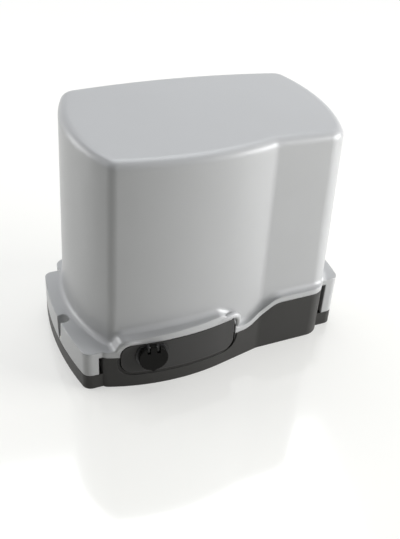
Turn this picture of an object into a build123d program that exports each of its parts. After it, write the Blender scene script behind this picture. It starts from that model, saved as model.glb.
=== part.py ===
from build123d import *
import os
from math import asin, atan, cos, degrees, pi, radians, sin, sqrt, tan

# Sliding gate operator, in millimetres. X runs along the gate, -Y is the side with the
# release panel, +Y is the gate side with the pinion, and Z is up. The origin lies on the
# underside, in the middle of the four anchor slots.

# Plan of the base
base_end_x = 165.0
base_apex_x = -53.5
base_apex_y = -110.0
base_front_radius = 238.0
base_bend_x = 47.0
base_flat_y = -94.0
base_rear_y = 91.0
body_left_x = -138.5
body_right_x = 137.0
base_wall = 4.0
base_floor = 5.0

# Ears at both ends, where the cover is screwed to the base
ear_sweep = 9.0
ear_root_x = 125.0
ear_left_front_y = -93.0
ear_left_rear_y = 68.0
ear_right_front_y = -82.0
ear_right_rear_y = 80.0
ear_corner_radius = 10.0
ear_base_z = 18.0
ear_gap = 3.0

# Line between base and cover, low at the left and high at the right
rim_left_z = 40.0
rim_dip_z = 36.0
rim_right_z = 59.0
rim_gap = 0.4
lip_height = 7.0
rim_climb_x = 33.0
rim_crest_x = 67.0

# Cover
cover_wall = 3.0
cover_front_left = (-126.0, -84.0)
cover_crease = (50.0, -87.0)
cover_front_right = (134.0, -87.0)
cover_rear_right = (138.0, 75.0)
cover_rear_left = (-126.0, 83.0)
cover_front_sag = 12.0
cover_right_sag = 18.5
cover_rear_sag = 4.0
cover_left_sag = 21.0
cover_draft = 4.2
cover_top_z = 263.4
cover_blank_z = 276.0
dome_sag = 6.2
dome_half_length = 200.0
dome_fall = 0.083
cover_top_radius = 10.0
cover_flare_radius = 6.0

# Release panel in the front of the base
panel_left_x = -120.0
panel_right_x = 11.0
panel_bottom_z = 19.0
panel_top_left_z = 54.5
panel_top_right_z = 57.5
panel_skin = 4.0
panel_gap = 1.0
panel_hinge_gap = 2.3
panel_hinge_radius = 11.0
window_hinge_radius = 8.0
border_hinge_radius = 19.0
arch_band = 9.0
hinge_x = -2.0
hinge_y = -95.0
hinge_pin_radius = 3.0
hub_radius = 5.5
cam_high = 13.0
cam_low = 7.0
cam_z = 28.0
cam_thickness = 8.0

# Lock in the release panel
lock_x = -88.0
lock_z = 41.0
lock_barrel_radius = 10.5
lock_flange_radius = 17.6
lock_plug_radius = 7.0
cap_radius = 15.5
cap_back = 3.0
cap_front = 8.5
cap_hinge_up = 14.0
cap_hinge_out = 4.0

# Rear opening, where pinion and limit switch come out
rear_opening_half = 42.0
rear_opening_top_z = 146.0
rear_opening_radius = 20.0
upstand_gap = 1.5

# Fixings in the base floor
anchor_x = 112.0
anchor_y = 52.0
anchor_slot_width = 11.0
anchor_slot_length = 24.0
levelling_y = 70.0
levelling_radius = 4.0
cover_screw_x = 160.5
cover_screw_left_y = -24.0
cover_screw_right_y = -4.0
cover_screw_radius = 2.5
cover_screw_head_radius = 4.1
scoop_radius = 4.6
scoop_top_radius = 7.5
cable_entry_x = 48.0
cable_entry_y = -52.0
cable_entry_length = 40.0
cable_entry_depth = 28.0

# Gearbox: the worm wheel turns about Y, the worm about Z beside it
output_z = 60.0
gear_module = 2.5
wheel_teeth = 30
worm_pitch_radius = 11.25
wheel_mid_y = 18.0
wheel_width = 20.0
wheel_hub_radius = 19.0
gear_play = 0.95
shaft_radius = 12.5
pinion_module = 4.0
pinion_teeth = 16
pinion_y = 94.0
pinion_width = 26.0
housing_wall = 4.5
housing_front_y = -24.0
housing_rear_y = 36.0
nose_radius = 31.0
nose_end_y = 90.0
running_gap = 0.3
fit_gap = 0.05

# Motor
motor_radius = 52.0
stack_radius = 50.0
stack_z = 128.0
stack_height = 60.0
stack_bore = 28.5
rotor_radius = 27.8
motor_flange_z = 100.0
motor_flange = 8.0
through_bolt_circle = 45.0

# Release rod, fork and clutch sleeve
rod_radius = 4.0
rod_z = 32.0
rod_play = 0.7
sleeve_front_y = -16.0
sleeve_length = 12.0
sleeve_radius = 19.0
groove_radius = 15.5
groove_width = 4.4
dog_length = 4.0

# Transformer, capacitor and control board
transformer_x = 92.0
transformer_y = 0.0
transformer_radius = 38.0
transformer_height = 36.0
capacitor_x = 64.0
capacitor_y = 53.0
capacitor_radius = 18.0
capacitor_height = 78.0
board_width = 150.0
board_height = 105.0
board_thickness = 1.6
board_left_x = -30.0
board_y = -62.0
board_z = 96.0
post_left_x = 12.0
post_right_x = 94.0
post_y = -66.0
post_top_z = 64.0

# Limit switch above the pinion
switch_x = 12.0
switch_half_width = 20.0
switch_front_y = 58.0
switch_rear_y = 85.0
switch_bottom_z = 108.0
switch_top_z = 138.0
lever_y = 74.0
lever_z = 123.0
lever_length = 62.0

wheel_pitch_radius = gear_module * wheel_teeth / 2
worm_x = -(wheel_pitch_radius + worm_pitch_radius)
worm_y = wheel_mid_y
foot_x = -19.0
foot_width = 142.0
foot_bolt_radius = 3.0
blind_z = 1.5

os.makedirs("parts", exist_ok=True)


def front_y(x):
    """Y of the bulged front of the base at x, left of its bend."""
    rise = base_front_radius - sqrt(base_front_radius**2 - (x - base_apex_x) ** 2)
    return base_apex_y + rise


def save(node, name):
    """Name a finished piece and write it to its own file."""
    node.part.label = name
    export_step(node.part, f"parts/{name}.step")


def body_outline(inset=0.0):
    """Base body: bulged front, flat right part, straight sides and rear."""
    left_corner = (body_left_x, front_y(body_left_x))
    arc_end = (0.0, front_y(0.0))
    with BuildSketch() as outline:
        with BuildLine():
            ThreePointArc(left_corner, (base_apex_x, base_apex_y), arc_end)
            Polyline(
                arc_end,
                (base_bend_x, base_flat_y),
                (body_right_x, base_flat_y),
                (body_right_x, base_rear_y),
                (body_left_x, base_rear_y),
                left_corner,
            )
        make_face()
        corners = outline.vertices().group_by(Axis.Y)
        rear = corners[-1]
        fillet(rear, 14)
        left = outline.vertices().filter_by(lambda v: v.Y < -50).sort_by(Axis.X)[0]
        fillet(left, 8)
        right = outline.vertices().filter_by(lambda v: v.Y < -50).sort_by(Axis.X)[-1]
        fillet(right, 22)
        bend = outline.vertices().sort_by_distance((base_bend_x, base_flat_y))[0]
        fillet(bend, 25)
        if inset:
            offset(amount=-inset, kind=Kind.INTERSECTION, mode=Mode.REPLACE)
    return outline.sketch


def ear_outline(side, front, rear, inset=0.0):
    """Ear at one end: its outer edge is a shallow arc."""
    end_x = side * (base_end_x - ear_sweep)
    with BuildSketch() as outline:
        with BuildLine():
            ThreePointArc((end_x, front), (side * base_end_x, (front + rear) / 2), (end_x, rear))
            Polyline((end_x, rear), (side * ear_root_x, rear), (side * ear_root_x, front), (end_x, front))
        make_face()
        ends = outline.vertices().filter_by(lambda v: abs(v.X) > ear_root_x + 5)
        fillet(ends, ear_corner_radius)
        if inset:
            offset(amount=-inset, kind=Kind.INTERSECTION, mode=Mode.REPLACE)
    return outline.sketch


def wall_outline(inset, z):
    """Cover wall at height z: bulged front up to a crease, then a flat right part."""
    front_left = (cover_front_left[0] + inset, cover_front_left[1] + inset)
    crease = (cover_crease[0], cover_crease[1] + inset)
    front_right = (cover_front_right[0] - inset, cover_front_right[1] + inset)
    rear_right = (cover_rear_right[0] - inset, cover_rear_right[1] - inset)
    rear_left = (cover_rear_left[0] + inset, cover_rear_left[1] - inset)
    rounded = [(front_left, 14), (crease, 24), (front_right, 24), (rear_right, 18), (rear_left, 18)]
    with BuildSketch(Plane.XY.offset(z)) as outline:
        with BuildLine():
            SagittaArc(front_left, crease, -cover_front_sag)
            Line(crease, front_right)
            SagittaArc(front_right, rear_right, -cover_right_sag)
            SagittaArc(rear_right, rear_left, -cover_rear_sag)
            SagittaArc(rear_left, front_left, -cover_left_sag)
        make_face()
        for corner, radius in rounded:
            fillet(outline.vertices().sort_by_distance((*corner, 0))[0], radius)
    return outline.sketch.face()


def upright_region(points):
    """Region in the XZ plane from (x, z, corner radius) points."""
    with BuildSketch(Plane.XZ) as region:
        with BuildLine():
            Polyline([(x, z) for x, z, radius in points], close=True)
        make_face()
        for x, z, radius in points:
            if radius:
                fillet(region.vertices().sort_by_distance((x, z, 0))[0], radius)
    return region.sketch


def rim_region(lift, up_to):
    """Everything above the line between base and cover, seen from the front."""
    return upright_region(
        [
            (-200, rim_left_z + lift, 0),
            (-20, rim_left_z + lift, 30),
            (16, rim_dip_z + lift, 20),
            (rim_climb_x, rim_dip_z + lift, 25),
            (rim_crest_x, rim_right_z + lift, 25),
            (200, rim_right_z + lift, 0),
            (200, up_to, 0),
            (-200, up_to, 0),
        ]
    )


def rear_rim_region(lift, up_to):
    """The same line along the rear, where it climbs behind the pinion."""
    return upright_region(
        [
            (-200, rim_left_z + lift, 0),
            (-26, rim_left_z + lift, 20),
            (26, rim_right_z + lift, 20),
            (200, rim_right_z + lift, 0),
            (200, up_to, 0),
            (-200, up_to, 0),
        ]
    )


def panel_region(gap, right_gap, radius_gap, hinge_radius, top_lift=0.0):
    """Outline of the release panel seen from the front, grown by a gap."""
    return upright_region(
        [
            (panel_left_x - gap, panel_bottom_z - gap, 13 + radius_gap),
            (panel_right_x + right_gap, panel_bottom_z - gap, hinge_radius),
            (panel_right_x + right_gap, panel_top_right_z + gap + top_lift, 5 + radius_gap),
            (-55, panel_top_right_z - 0.6 + gap + top_lift, 300),
            (panel_left_x - gap, panel_top_left_z + gap + top_lift, 13 + radius_gap),
        ]
    )


def lip_region(drop, up_to):
    """Everything above the cover's lip and its arch over the release panel."""
    left_z = rim_left_z + lip_height - drop
    dip_z = rim_dip_z + lip_height - drop
    right_z = rim_right_z + lip_height - drop
    return upright_region(
        [
            (-200, left_z, 0),
            (panel_left_x - 7, left_z, 7),
            (panel_left_x + 0.5, panel_top_left_z + arch_band - 2 - drop, 9),
            (-60, panel_top_right_z + arch_band - drop, 60),
            (panel_right_x - 19, panel_top_right_z + arch_band + 2.5 - drop, 12),
            (panel_right_x - 6, panel_top_right_z + arch_band - 4.5 - drop, 12),
            (panel_right_x + 5, dip_z, 7),
            (rim_climb_x - 2, dip_z, 25),
            (rim_crest_x, right_z, 25),
            (200, right_z, 0),
            (200, up_to, 0),
            (-200, up_to, 0),
        ]
    )


def rear_opening_region(gap):
    """Inverted U in the rear of the cover, shrunk by a gap."""
    half = rear_opening_half - gap
    top = rear_opening_top_z - gap
    radius = rear_opening_radius - gap
    return upright_region([(-half, -10, 0), (half, -10, 0), (half, top, radius), (-half, top, radius)])


foot_hole_places = [
    (foot_x + dx, (housing_front_y + housing_rear_y) / 2 + dy) for dx in (-64, 64) for dy in (-22, 22)
]
cover_screw_places = [(-cover_screw_x, cover_screw_left_y), (cover_screw_x, cover_screw_right_y)]
ear_inner_left_x = body_left_x - ear_gap - rim_gap
ear_inner_right_x = body_right_x + ear_gap + rim_gap
cap_plane_y = front_y(lock_x)
lock_tilt = asin((lock_x - base_apex_x) / base_front_radius)
lock_plane = Plane(
    origin=(lock_x, cap_plane_y, lock_z),
    x_dir=(cos(lock_tilt), sin(lock_tilt), 0),
    z_dir=(sin(lock_tilt), -cos(lock_tilt), 0),
)

# Shallow border that frames the window of the release panel
border_depth = 1.2
border_width = 3.0
with BuildPart() as window_border:
    with BuildSketch():
        add(body_outline())
        add(body_outline(border_depth), mode=Mode.SUBTRACT)
    extrude(amount=rim_right_z)
    with BuildSketch(Plane.XZ):
        frame_gap = panel_gap + border_width
        frame_hinge_gap = panel_hinge_gap + border_width
        add(panel_region(frame_gap, frame_hinge_gap, border_width, border_hinge_radius, top_lift=40))
    extrude(amount=130, mode=Mode.INTERSECT)

pocket_rear_y = -76.0
pocket_step_y = -84.0
pocket_step_x = -100.0
pocket_right_x = 16.0
pocket_wall = 2.5
boss_radius = 9.0
boss_top_z = 13.0
nut_across = 13.0
nut_height = 6.5
slot_lever_half = 17.0
slot_lever_height = 16.0
catch_length = 12.0
relief_skin = 1.6
lug_bottom_z = 57.8
lug_top_z = 59.3

# Base housing: a walled tray with ears, cut along the rim line
with BuildPart() as base_housing:
    with BuildSketch():
        add(body_outline())
        add(ear_outline(-1, ear_left_front_y, ear_left_rear_y))
        add(ear_outline(1, ear_right_front_y, ear_right_rear_y))
    extrude(amount=ear_base_z - rim_gap)
    with BuildSketch():
        add(body_outline())
    extrude(amount=rim_right_z + 5)
    extrude(rim_region(-rim_gap, 120), amount=130, mode=Mode.SUBTRACT)
    extrude(rear_rim_region(-rim_gap, 120), amount=-130, mode=Mode.SUBTRACT)
    with BuildSketch(Plane.XY.offset(base_floor)):
        add(body_outline(base_wall))
    extrude(amount=150, mode=Mode.SUBTRACT)
    # Upstand that closes the rear opening of the cover
    with BuildSketch(Plane.XZ.offset(-base_rear_y)):
        add(rear_opening_region(upstand_gap))
        with Locations((0, -5)):
            Rectangle(200, 10, mode=Mode.SUBTRACT)
        with Locations((switch_x, lever_z)):
            RectangleRounded(2 * slot_lever_half, slot_lever_height, 5, mode=Mode.SUBTRACT)
    extrude(amount=base_wall)
    with BuildSketch(Plane.XZ.offset(-base_rear_y)):
        with Locations((0, output_z)):
            Circle(nose_radius + running_gap)
    extrude(amount=base_wall, mode=Mode.SUBTRACT)
    # Window for the release panel, its border, and the pocket behind it
    window = panel_region(panel_gap, panel_hinge_gap, 1, window_hinge_radius, top_lift=40)
    extrude(window, amount=130, mode=Mode.SUBTRACT)
    add(window_border.part, mode=Mode.SUBTRACT)
    with BuildSketch(Plane.XY.offset(base_floor - 1)):
        with BuildLine():
            Polyline(
                (body_left_x + 2, pocket_step_y),
                (pocket_step_x, pocket_step_y),
                (pocket_step_x, pocket_rear_y),
                (pocket_right_x, pocket_rear_y),
                (pocket_right_x, base_flat_y - 4),
            )
        trace(line_width=pocket_wall)
    extrude(amount=rim_dip_z - rim_gap - base_floor + 1)
    with BuildSketch(Plane.XY.offset(base_floor - 1)):
        with Locations(((pocket_step_x + pocket_right_x) / 2, pocket_rear_y)):
            Rectangle(pocket_right_x - pocket_step_x - 6, pocket_wall)
    extrude(amount=lug_top_z - base_floor)
    # Lower and upper bearing of the hinge pin
    with BuildSketch(Plane.XY.offset(base_floor - 1)):
        with Locations((hinge_x, hinge_y)):
            Circle(hub_radius + 0.5)
    extrude(amount=panel_bottom_z - base_floor + 1 - running_gap)
    with BuildSketch(Plane.XY.offset(lug_bottom_z)):
        with Locations((hinge_x, hinge_y)):
            Circle(hub_radius - 1)
        with Locations((hinge_x, (hinge_y + pocket_rear_y) / 2)):
            Rectangle(2 * (hub_radius - 1), pocket_rear_y - hinge_y)
    extrude(amount=lug_top_z - lug_bottom_z)
    with BuildSketch(Plane.XY.offset(base_floor + 3)):
        with Locations((hinge_x, hinge_y)):
            Circle(hinge_pin_radius)
    extrude(amount=lug_top_z, mode=Mode.SUBTRACT)
    # Catch for the lock's cam, behind the front wall
    with BuildSketch(Plane.XY.offset(base_floor - 1)):
        with Locations((lock_x, front_y(lock_x) + base_wall + 2.1)):
            Rectangle(catch_length, 6.2)
    extrude(amount=12)
    # Hole for the release rod in the pocket's rear wall
    with BuildSketch(Plane.XZ.offset(-pocket_rear_y + 5)):
        with Locations((hinge_x, rod_z)):
            Circle(rod_radius + 1.2)
    extrude(amount=-10, mode=Mode.SUBTRACT)
    # Bosses with nut seats for the levelling screws
    with BuildSketch(Plane.XY.offset(base_floor - 1)):
        with GridLocations(2 * anchor_x, 2 * levelling_y, 2, 2):
            Circle(boss_radius)
    extrude(amount=boss_top_z - base_floor + 1)
    with BuildSketch(Plane.XY.offset(boss_top_z - nut_height)):
        with GridLocations(2 * anchor_x, 2 * levelling_y, 2, 2):
            RegularPolygon(nut_across / 2 + fit_gap, 6, major_radius=False)
    extrude(amount=nut_height, mode=Mode.SUBTRACT)
    with GridLocations(2 * anchor_x, 2 * levelling_y, 2, 2):
        Hole(levelling_radius + 0.5)
    # Posts for the board tray and the seat of the transformer
    with BuildSketch(Plane.XY.offset(base_floor - 1)):
        with Locations((post_left_x, post_y), (post_right_x, post_y)):
            Circle(5)
    extrude(amount=post_top_z - base_floor + 1)
    with BuildSketch(Plane.XY.offset(base_floor - 1)):
        with Locations((transformer_x, transformer_y)):
            Circle(14)
    extrude(amount=4)
    # Anchor slots, cable entry and screw holes in the ears
    with BuildSketch():
        with GridLocations(2 * anchor_x, 2 * anchor_y, 2, 2):
            SlotOverall(anchor_slot_length, anchor_slot_width)
        with Locations((cable_entry_x, cable_entry_y)):
            RectangleRounded(cable_entry_length, cable_entry_depth, 8)
    extrude(amount=base_floor, mode=Mode.SUBTRACT)
    with BuildSketch(Plane.XY.offset(4)):
        with Locations(*cover_screw_places):
            Circle(cover_screw_radius + fit_gap)
    extrude(amount=30, mode=Mode.SUBTRACT)
    # Blind holes for the bolts of gearbox, transformer and board tray
    with BuildSketch(Plane.XY.offset(blind_z)):
        with Locations(*foot_hole_places):
            Circle(foot_bolt_radius + fit_gap)
        with Locations((transformer_x, transformer_y)):
            Circle(3 + fit_gap)
    extrude(amount=20, mode=Mode.SUBTRACT)
    with BuildSketch(Plane.XY.offset(post_top_z)):
        with Locations((post_left_x, post_y), (post_right_x, post_y)):
            Circle(1.6)
    extrude(amount=-12, mode=Mode.SUBTRACT)
save(base_housing, "base_housing")

# Space below the rim line, between the ears
with BuildPart() as below_rim:
    with BuildSketch(Plane.XZ):
        with Locations(((ear_inner_left_x + ear_inner_right_x) / 2, 40)):
            Rectangle(ear_inner_right_x - ear_inner_left_x, 100)
        add(rim_region(0, 120), mode=Mode.SUBTRACT)
    extrude(amount=130)
    with BuildSketch(Plane.XZ):
        with Locations(((ear_inner_left_x + ear_inner_right_x) / 2, 40)):
            Rectangle(ear_inner_right_x - ear_inner_left_x, 100)
        add(rear_rim_region(0, 120), mode=Mode.SUBTRACT)
    extrude(amount=-130)

# Flared lip of the cover with both ears
with BuildPart() as lip:
    with BuildSketch(Plane.XY.offset(ear_base_z)):
        add(body_outline())
        add(ear_outline(-1, ear_left_front_y, ear_left_rear_y))
        add(ear_outline(1, ear_right_front_y, ear_right_rear_y))
    extrude(amount=60)
    extrude(lip_region(0, 120), amount=130, mode=Mode.SUBTRACT)
    extrude(rear_rim_region(lip_height, 120), amount=-130, mode=Mode.SUBTRACT)

dome_plane = Plane(origin=(0, 0, cover_top_z), x_dir=(1, 0, 0), z_dir=(0, -1, -dome_fall))


def dome_region(drop):
    """Everything above the cover's arched top."""
    with BuildSketch(dome_plane) as region:
        with BuildLine():
            left = (-dome_half_length, -dome_sag - drop)
            right = (dome_half_length, -dome_sag - drop)
            ThreePointArc(left, (0, -drop), right)
            Polyline(right, (dome_half_length, 60), (-dome_half_length, 60), left)
        make_face()
    return region.sketch


def wall_block(inset, bottom_z, drop, edge_cut, size):
    """Cover wall as a drafted block with an arched top whose edge is rounded or chamfered."""
    bottom_inset = inset + cover_draft * (bottom_z - rim_left_z) / (cover_blank_z - rim_left_z)
    with BuildPart() as block:
        low_outline = wall_outline(bottom_inset, bottom_z)
        high_outline = wall_outline(inset + cover_draft, cover_blank_z)
        loft([low_outline, high_outline], ruled=True)
        extrude(dome_region(drop), amount=dome_half_length, both=True, mode=Mode.SUBTRACT)
        edge_cut(block.faces().sort_by(Axis.Z)[-1].edges(), size)
    return block.part


# Hollow under the lip, inside the wall and inside the ears
with BuildPart() as lip_hollow:
    with BuildSketch(Plane.XY.offset(30)):
        add(body_outline(base_wall))
    extrude(amount=60)
    extrude(lip_region(cover_wall, 120), amount=130, mode=Mode.SUBTRACT)
    extrude(rear_rim_region(lip_height - cover_wall, 120), amount=-130, mode=Mode.SUBTRACT)
with BuildPart() as ear_hollows:
    with BuildSketch(Plane.XY.offset(ear_base_z - 1)):
        add(ear_outline(-1, ear_left_front_y, ear_left_rear_y, cover_wall))
        with Locations((ear_inner_left_x - cover_wall + 50, 0)):
            Rectangle(100, 300, mode=Mode.SUBTRACT)
        with Locations(cover_screw_places[0]):
            Circle(scoop_top_radius + cover_wall, mode=Mode.SUBTRACT)
    extrude(amount=rim_left_z + lip_height - cover_wall - ear_base_z + 1)
    with BuildSketch(Plane.XY.offset(ear_base_z - 1)):
        add(ear_outline(1, ear_right_front_y, ear_right_rear_y, cover_wall))
        with Locations((ear_inner_right_x + cover_wall - 50, 0)):
            Rectangle(100, 300, mode=Mode.SUBTRACT)
        with Locations(cover_screw_places[1]):
            Circle(scoop_top_radius + cover_wall, mode=Mode.SUBTRACT)
    extrude(amount=rim_right_z + lip_height - cover_wall - ear_base_z + 1)

screw_ledge_z = 20.0
outer_wall = wall_block(0, rim_dip_z, 0, fillet, cover_top_radius)
with BuildPart() as hollow:
    add(wall_block(cover_wall, rim_dip_z - 2, cover_wall, chamfer, cover_top_radius / 2 - 0.5))
    for side, top_z in ((-1, rim_left_z + 3), (1, rim_right_z + 2)):
        inner_x = (body_left_x if side < 0 else body_right_x) - side * base_wall
        with Locations((inner_x + side * 25, 0, 30)):
            Box(50, 300, top_z - 30, align=(Align.CENTER, Align.CENTER, Align.MIN), mode=Mode.SUBTRACT)
    add(lip_hollow.part)
    add(ear_hollows.part)
with BuildPart() as cover:
    add(outer_wall)
    add(lip.part)
    wall_wire = wall_outline(0.3, 0).outer_wire()
    low_edges = cover.edges().filter_by(
        lambda e: e.bounding_box().min.Z > rim_dip_z + lip_height - 1 and e.bounding_box().max.Z < 75
    )

    def on_wall(edge):
        middle = edge.position_at(0.5)
        return Vertex(middle.X, middle.Y, 0).distance_to(wall_wire) < 1.2

    seam = low_edges.filter_by(on_wall)
    fillet(seam, cover_flare_radius)
    add(hollow.part, mode=Mode.SUBTRACT)
    add(below_rim.part, mode=Mode.SUBTRACT)
    window = panel_region(panel_gap, panel_hinge_gap, 1, window_hinge_radius)
    extrude(window, amount=130, mode=Mode.SUBTRACT)
    with BuildSketch(Plane.XZ.offset(-60)):
        add(rear_opening_region(0))
    extrude(amount=-60, mode=Mode.SUBTRACT)
    # Tapered grooves for the cover screws, open to the outside
    for (x, y), ear_top_z in zip(cover_screw_places, (rim_left_z + lip_height, rim_right_z + lip_height)):
        with Locations((x, y, screw_ledge_z)):
            Cone(
                scoop_radius,
                scoop_top_radius,
                ear_top_z + 1 - screw_ledge_z,
                align=(Align.CENTER, Align.CENTER, Align.MIN),
                mode=Mode.SUBTRACT,
            )
    with BuildSketch(Plane.XY.offset(ear_base_z - 1)):
        with Locations(*cover_screw_places):
            Circle(cover_screw_radius + 0.3)
    extrude(amount=6, mode=Mode.SUBTRACT)
save(cover, "cover")

# Cover screws stand on the ledges in the ears' grooves
with BuildPart() as cover_screws:
    with Locations(*[(x, y, screw_ledge_z) for x, y in cover_screw_places]):
        Cylinder(cover_screw_head_radius, 3.5, align=(Align.CENTER, Align.CENTER, Align.MIN))
        Cylinder(cover_screw_radius, 15, align=(Align.CENTER, Align.CENTER, Align.MAX))
    rims = cover_screws.edges().filter_by(GeomType.CIRCLE).group_by(Axis.Z)[-1]
    fillet(rims, 1.2)
    with Locations(*[(x, y, screw_ledge_z + 3.5) for x, y in cover_screw_places]):
        Box(6, 1.2, 2.4, mode=Mode.SUBTRACT)
        Box(1.2, 6, 2.4, mode=Mode.SUBTRACT)
save(cover_screws, "cover_screws")

# Levelling screws stand in hexagon nuts in the base's bosses
with BuildPart() as levelling_nuts:
    with BuildSketch(Plane.XY.offset(boss_top_z - nut_height)):
        with GridLocations(2 * anchor_x, 2 * levelling_y, 2, 2):
            RegularPolygon(nut_across / 2, 6, major_radius=False)
            Circle(levelling_radius + fit_gap, mode=Mode.SUBTRACT)
    extrude(amount=nut_height)
save(levelling_nuts, "levelling_nuts")
with BuildPart() as levelling_screws:
    with BuildSketch(Plane.XY.offset(0.3)):
        with GridLocations(2 * anchor_x, 2 * levelling_y, 2, 2):
            Circle(levelling_radius)
    extrude(amount=28)
    chamfer(levelling_screws.edges().filter_by(GeomType.CIRCLE), 0.8)
    with BuildSketch(Plane.XY.offset(28.3)):
        with GridLocations(2 * anchor_x, 2 * levelling_y, 2, 2):
            Rectangle(10, 1.4)
    extrude(amount=-2, mode=Mode.SUBTRACT)
save(levelling_screws, "levelling_screws")

# Release panel: curved door with hub and spiral cam at its hinge
with BuildPart() as panel_shell:
    with BuildSketch(Plane.XY.offset(10)):
        add(body_outline())
        add(body_outline(panel_skin), mode=Mode.SUBTRACT)
    extrude(amount=60)
    extrude(panel_region(0, 0, 0, panel_hinge_radius), amount=130, mode=Mode.INTERSECT)
with BuildPart() as release_panel:
    add(panel_shell.part)
    hub_height = lug_bottom_z - running_gap - panel_bottom_z
    with BuildSketch(Plane.XY.offset(panel_bottom_z)):
        with Locations((hinge_x, hinge_y)):
            Circle(hub_radius)
        with Locations((hinge_x, (hinge_y + front_y(hinge_x)) / 2 + 0.5)):
            Rectangle(hub_radius, front_y(hinge_x) * -1 + hinge_y - 2)
    extrude(amount=hub_height)
    with BuildSketch(Plane.XY.offset(cam_z)):
        with BuildLine():
            turns = [radians(a) for a in (0, 22.5, 45, 67.5, 90)]
            spiral = [
                (
                    hinge_x + (cam_low + (cam_high - cam_low) * t / radians(90)) * cos(t),
                    hinge_y + (cam_low + (cam_high - cam_low) * t / radians(90)) * sin(t),
                )
                for t in turns
            ]
            Spline(spiral)
            start = (hinge_x + cam_low, hinge_y - 3)
            end = (hinge_x - 3, hinge_y + cam_high)
            Line(spiral[-1], end)
            Polyline(end, (hinge_x - 3, hinge_y), (hinge_x, hinge_y - 3), start, spiral[0])
        make_face()
    extrude(amount=cam_thickness)
    with BuildSketch(Plane.XY.offset(panel_bottom_z - 1)):
        with Locations((hinge_x, hinge_y)):
            Circle(hinge_pin_radius + fit_gap)
    extrude(amount=hub_height + 2, mode=Mode.SUBTRACT)
    # Relief that lets the right end pass the release rod when the panel is open
    with BuildSketch(Plane.XY.offset(rod_z - rod_radius - 1)):
        add(body_outline(relief_skin))
        with Locations((hinge_x + hub_radius + 20, hinge_y)):
            Rectangle(40, 20, mode=Mode.INTERSECT)
    extrude(amount=2 * rod_radius + 2, mode=Mode.SUBTRACT)
    with BuildSketch(lock_plane):
        Circle(lock_flange_radius + 0.3)
        with Locations((0, 30)):
            Rectangle(60, 2 * (30 - (panel_top_left_z - lock_z)) + 1.6, mode=Mode.SUBTRACT)
    extrude(amount=-1.4, mode=Mode.SUBTRACT)
    with BuildSketch(lock_plane):
        Circle(lock_barrel_radius + fit_gap)
    extrude(amount=-12, both=True, mode=Mode.SUBTRACT)
save(release_panel, "release_panel")

with BuildPart() as hinge_pin:
    with BuildSketch(Plane.XY.offset(base_floor + 3)):
        with Locations((hinge_x, hinge_y)):
            Circle(hinge_pin_radius)
    extrude(amount=lug_top_z - base_floor - 3)
save(hinge_pin, "hinge_pin")

# Lock: housing with two lugs, nut, turning plug with cam, and a hinged cap
with BuildPart() as lock_housing:
    with BuildSketch(lock_plane.offset(-1.3)):
        Circle(lock_flange_radius)
        with Locations((0, 30)):
            Rectangle(60, 2 * (30 - (panel_top_left_z - lock_z)) + 2.2, mode=Mode.SUBTRACT)
    extrude(amount=2.1)
    with BuildSketch(lock_plane.offset(-10)):
        Circle(lock_barrel_radius)
    extrude(amount=9)
    with BuildSketch(lock_plane.offset(0.8)):
        with Locations((-5, 11.5), (5, 11.5)):
            Rectangle(2, 6)
    extrude(amount=5.5)
    with BuildSketch(Plane(lock_plane.origin, x_dir=-lock_plane.z_dir, z_dir=lock_plane.x_dir)):
        with Locations((-cap_hinge_out, cap_hinge_up - 1)):
            Circle(1.05)
    extrude(amount=12, both=True, mode=Mode.SUBTRACT)
    with BuildSketch(lock_plane.offset(-11)):
        Circle(lock_plug_radius + fit_gap)
    extrude(amount=15, mode=Mode.SUBTRACT)
save(lock_housing, "lock_housing")

with BuildPart() as lock_nut:
    with BuildSketch(lock_plane.offset(-panel_skin - 4.6)):
        RegularPolygon(13.5, 6, major_radius=False)
        Circle(lock_barrel_radius + fit_gap, mode=Mode.SUBTRACT)
    extrude(amount=4)
save(lock_nut, "lock_nut")

with BuildPart() as lock_cylinder:
    with BuildSketch(lock_plane.offset(-12.6)):
        Circle(lock_plug_radius)
    extrude(amount=13.6)
    with BuildSketch(lock_plane.offset(-12.6)):
        with Locations((-10, 0)):
            SlotOverall(34, 10)
    extrude(amount=2.2)
    with BuildSketch(lock_plane.offset(1)):
        Rectangle(1.4, 7.5)
    extrude(amount=-4, mode=Mode.SUBTRACT)
save(lock_cylinder, "lock_cylinder")

cap_centre_up = 1.0
cap_notches = 28
cap_flat_up = 15.2
hinge_height = cap_hinge_up - 1
cap_hinge_plane = Plane(
    lock_plane.origin + lock_plane.z_dir * cap_hinge_out + lock_plane.y_dir * hinge_height,
    x_dir=-lock_plane.z_dir,
    z_dir=lock_plane.x_dir,
)
with BuildPart() as lock_cap:
    with BuildSketch(lock_plane.offset(cap_back)):
        with Locations((0, cap_centre_up)):
            Circle(cap_radius)
            with PolarLocations(cap_radius + 0.5, cap_notches, start_angle=90 / cap_notches):
                Circle(1.0, mode=Mode.SUBTRACT)
        with BuildLine():
            Polyline((-5, -12), (5, -12), (0, -16.6), close=True)
        make_face()
        # Flat at the hinge end, so that the open cap clears the flange
        with Locations((0, cap_flat_up + 10)):
            Rectangle(40, 20, mode=Mode.SUBTRACT)
    extrude(amount=cap_front - cap_back)
    with BuildSketch(lock_plane.offset(cap_back - 1)):
        with Locations((-5.2, 13.5), (5.2, 13.5)):
            Rectangle(3.8, 12)
    extrude(amount=10, mode=Mode.SUBTRACT)
    with BuildSketch(cap_hinge_plane):
        Circle(2.2)
    extrude(amount=3.2, both=True)
    with BuildSketch(cap_hinge_plane):
        Circle(1.05)
    extrude(amount=12, both=True, mode=Mode.SUBTRACT)
save(lock_cap, "lock_cap")

with BuildPart() as cap_pin:
    with BuildSketch(cap_hinge_plane):
        Circle(1.0)
    extrude(amount=6, both=True)
save(cap_pin, "cap_pin")


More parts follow.
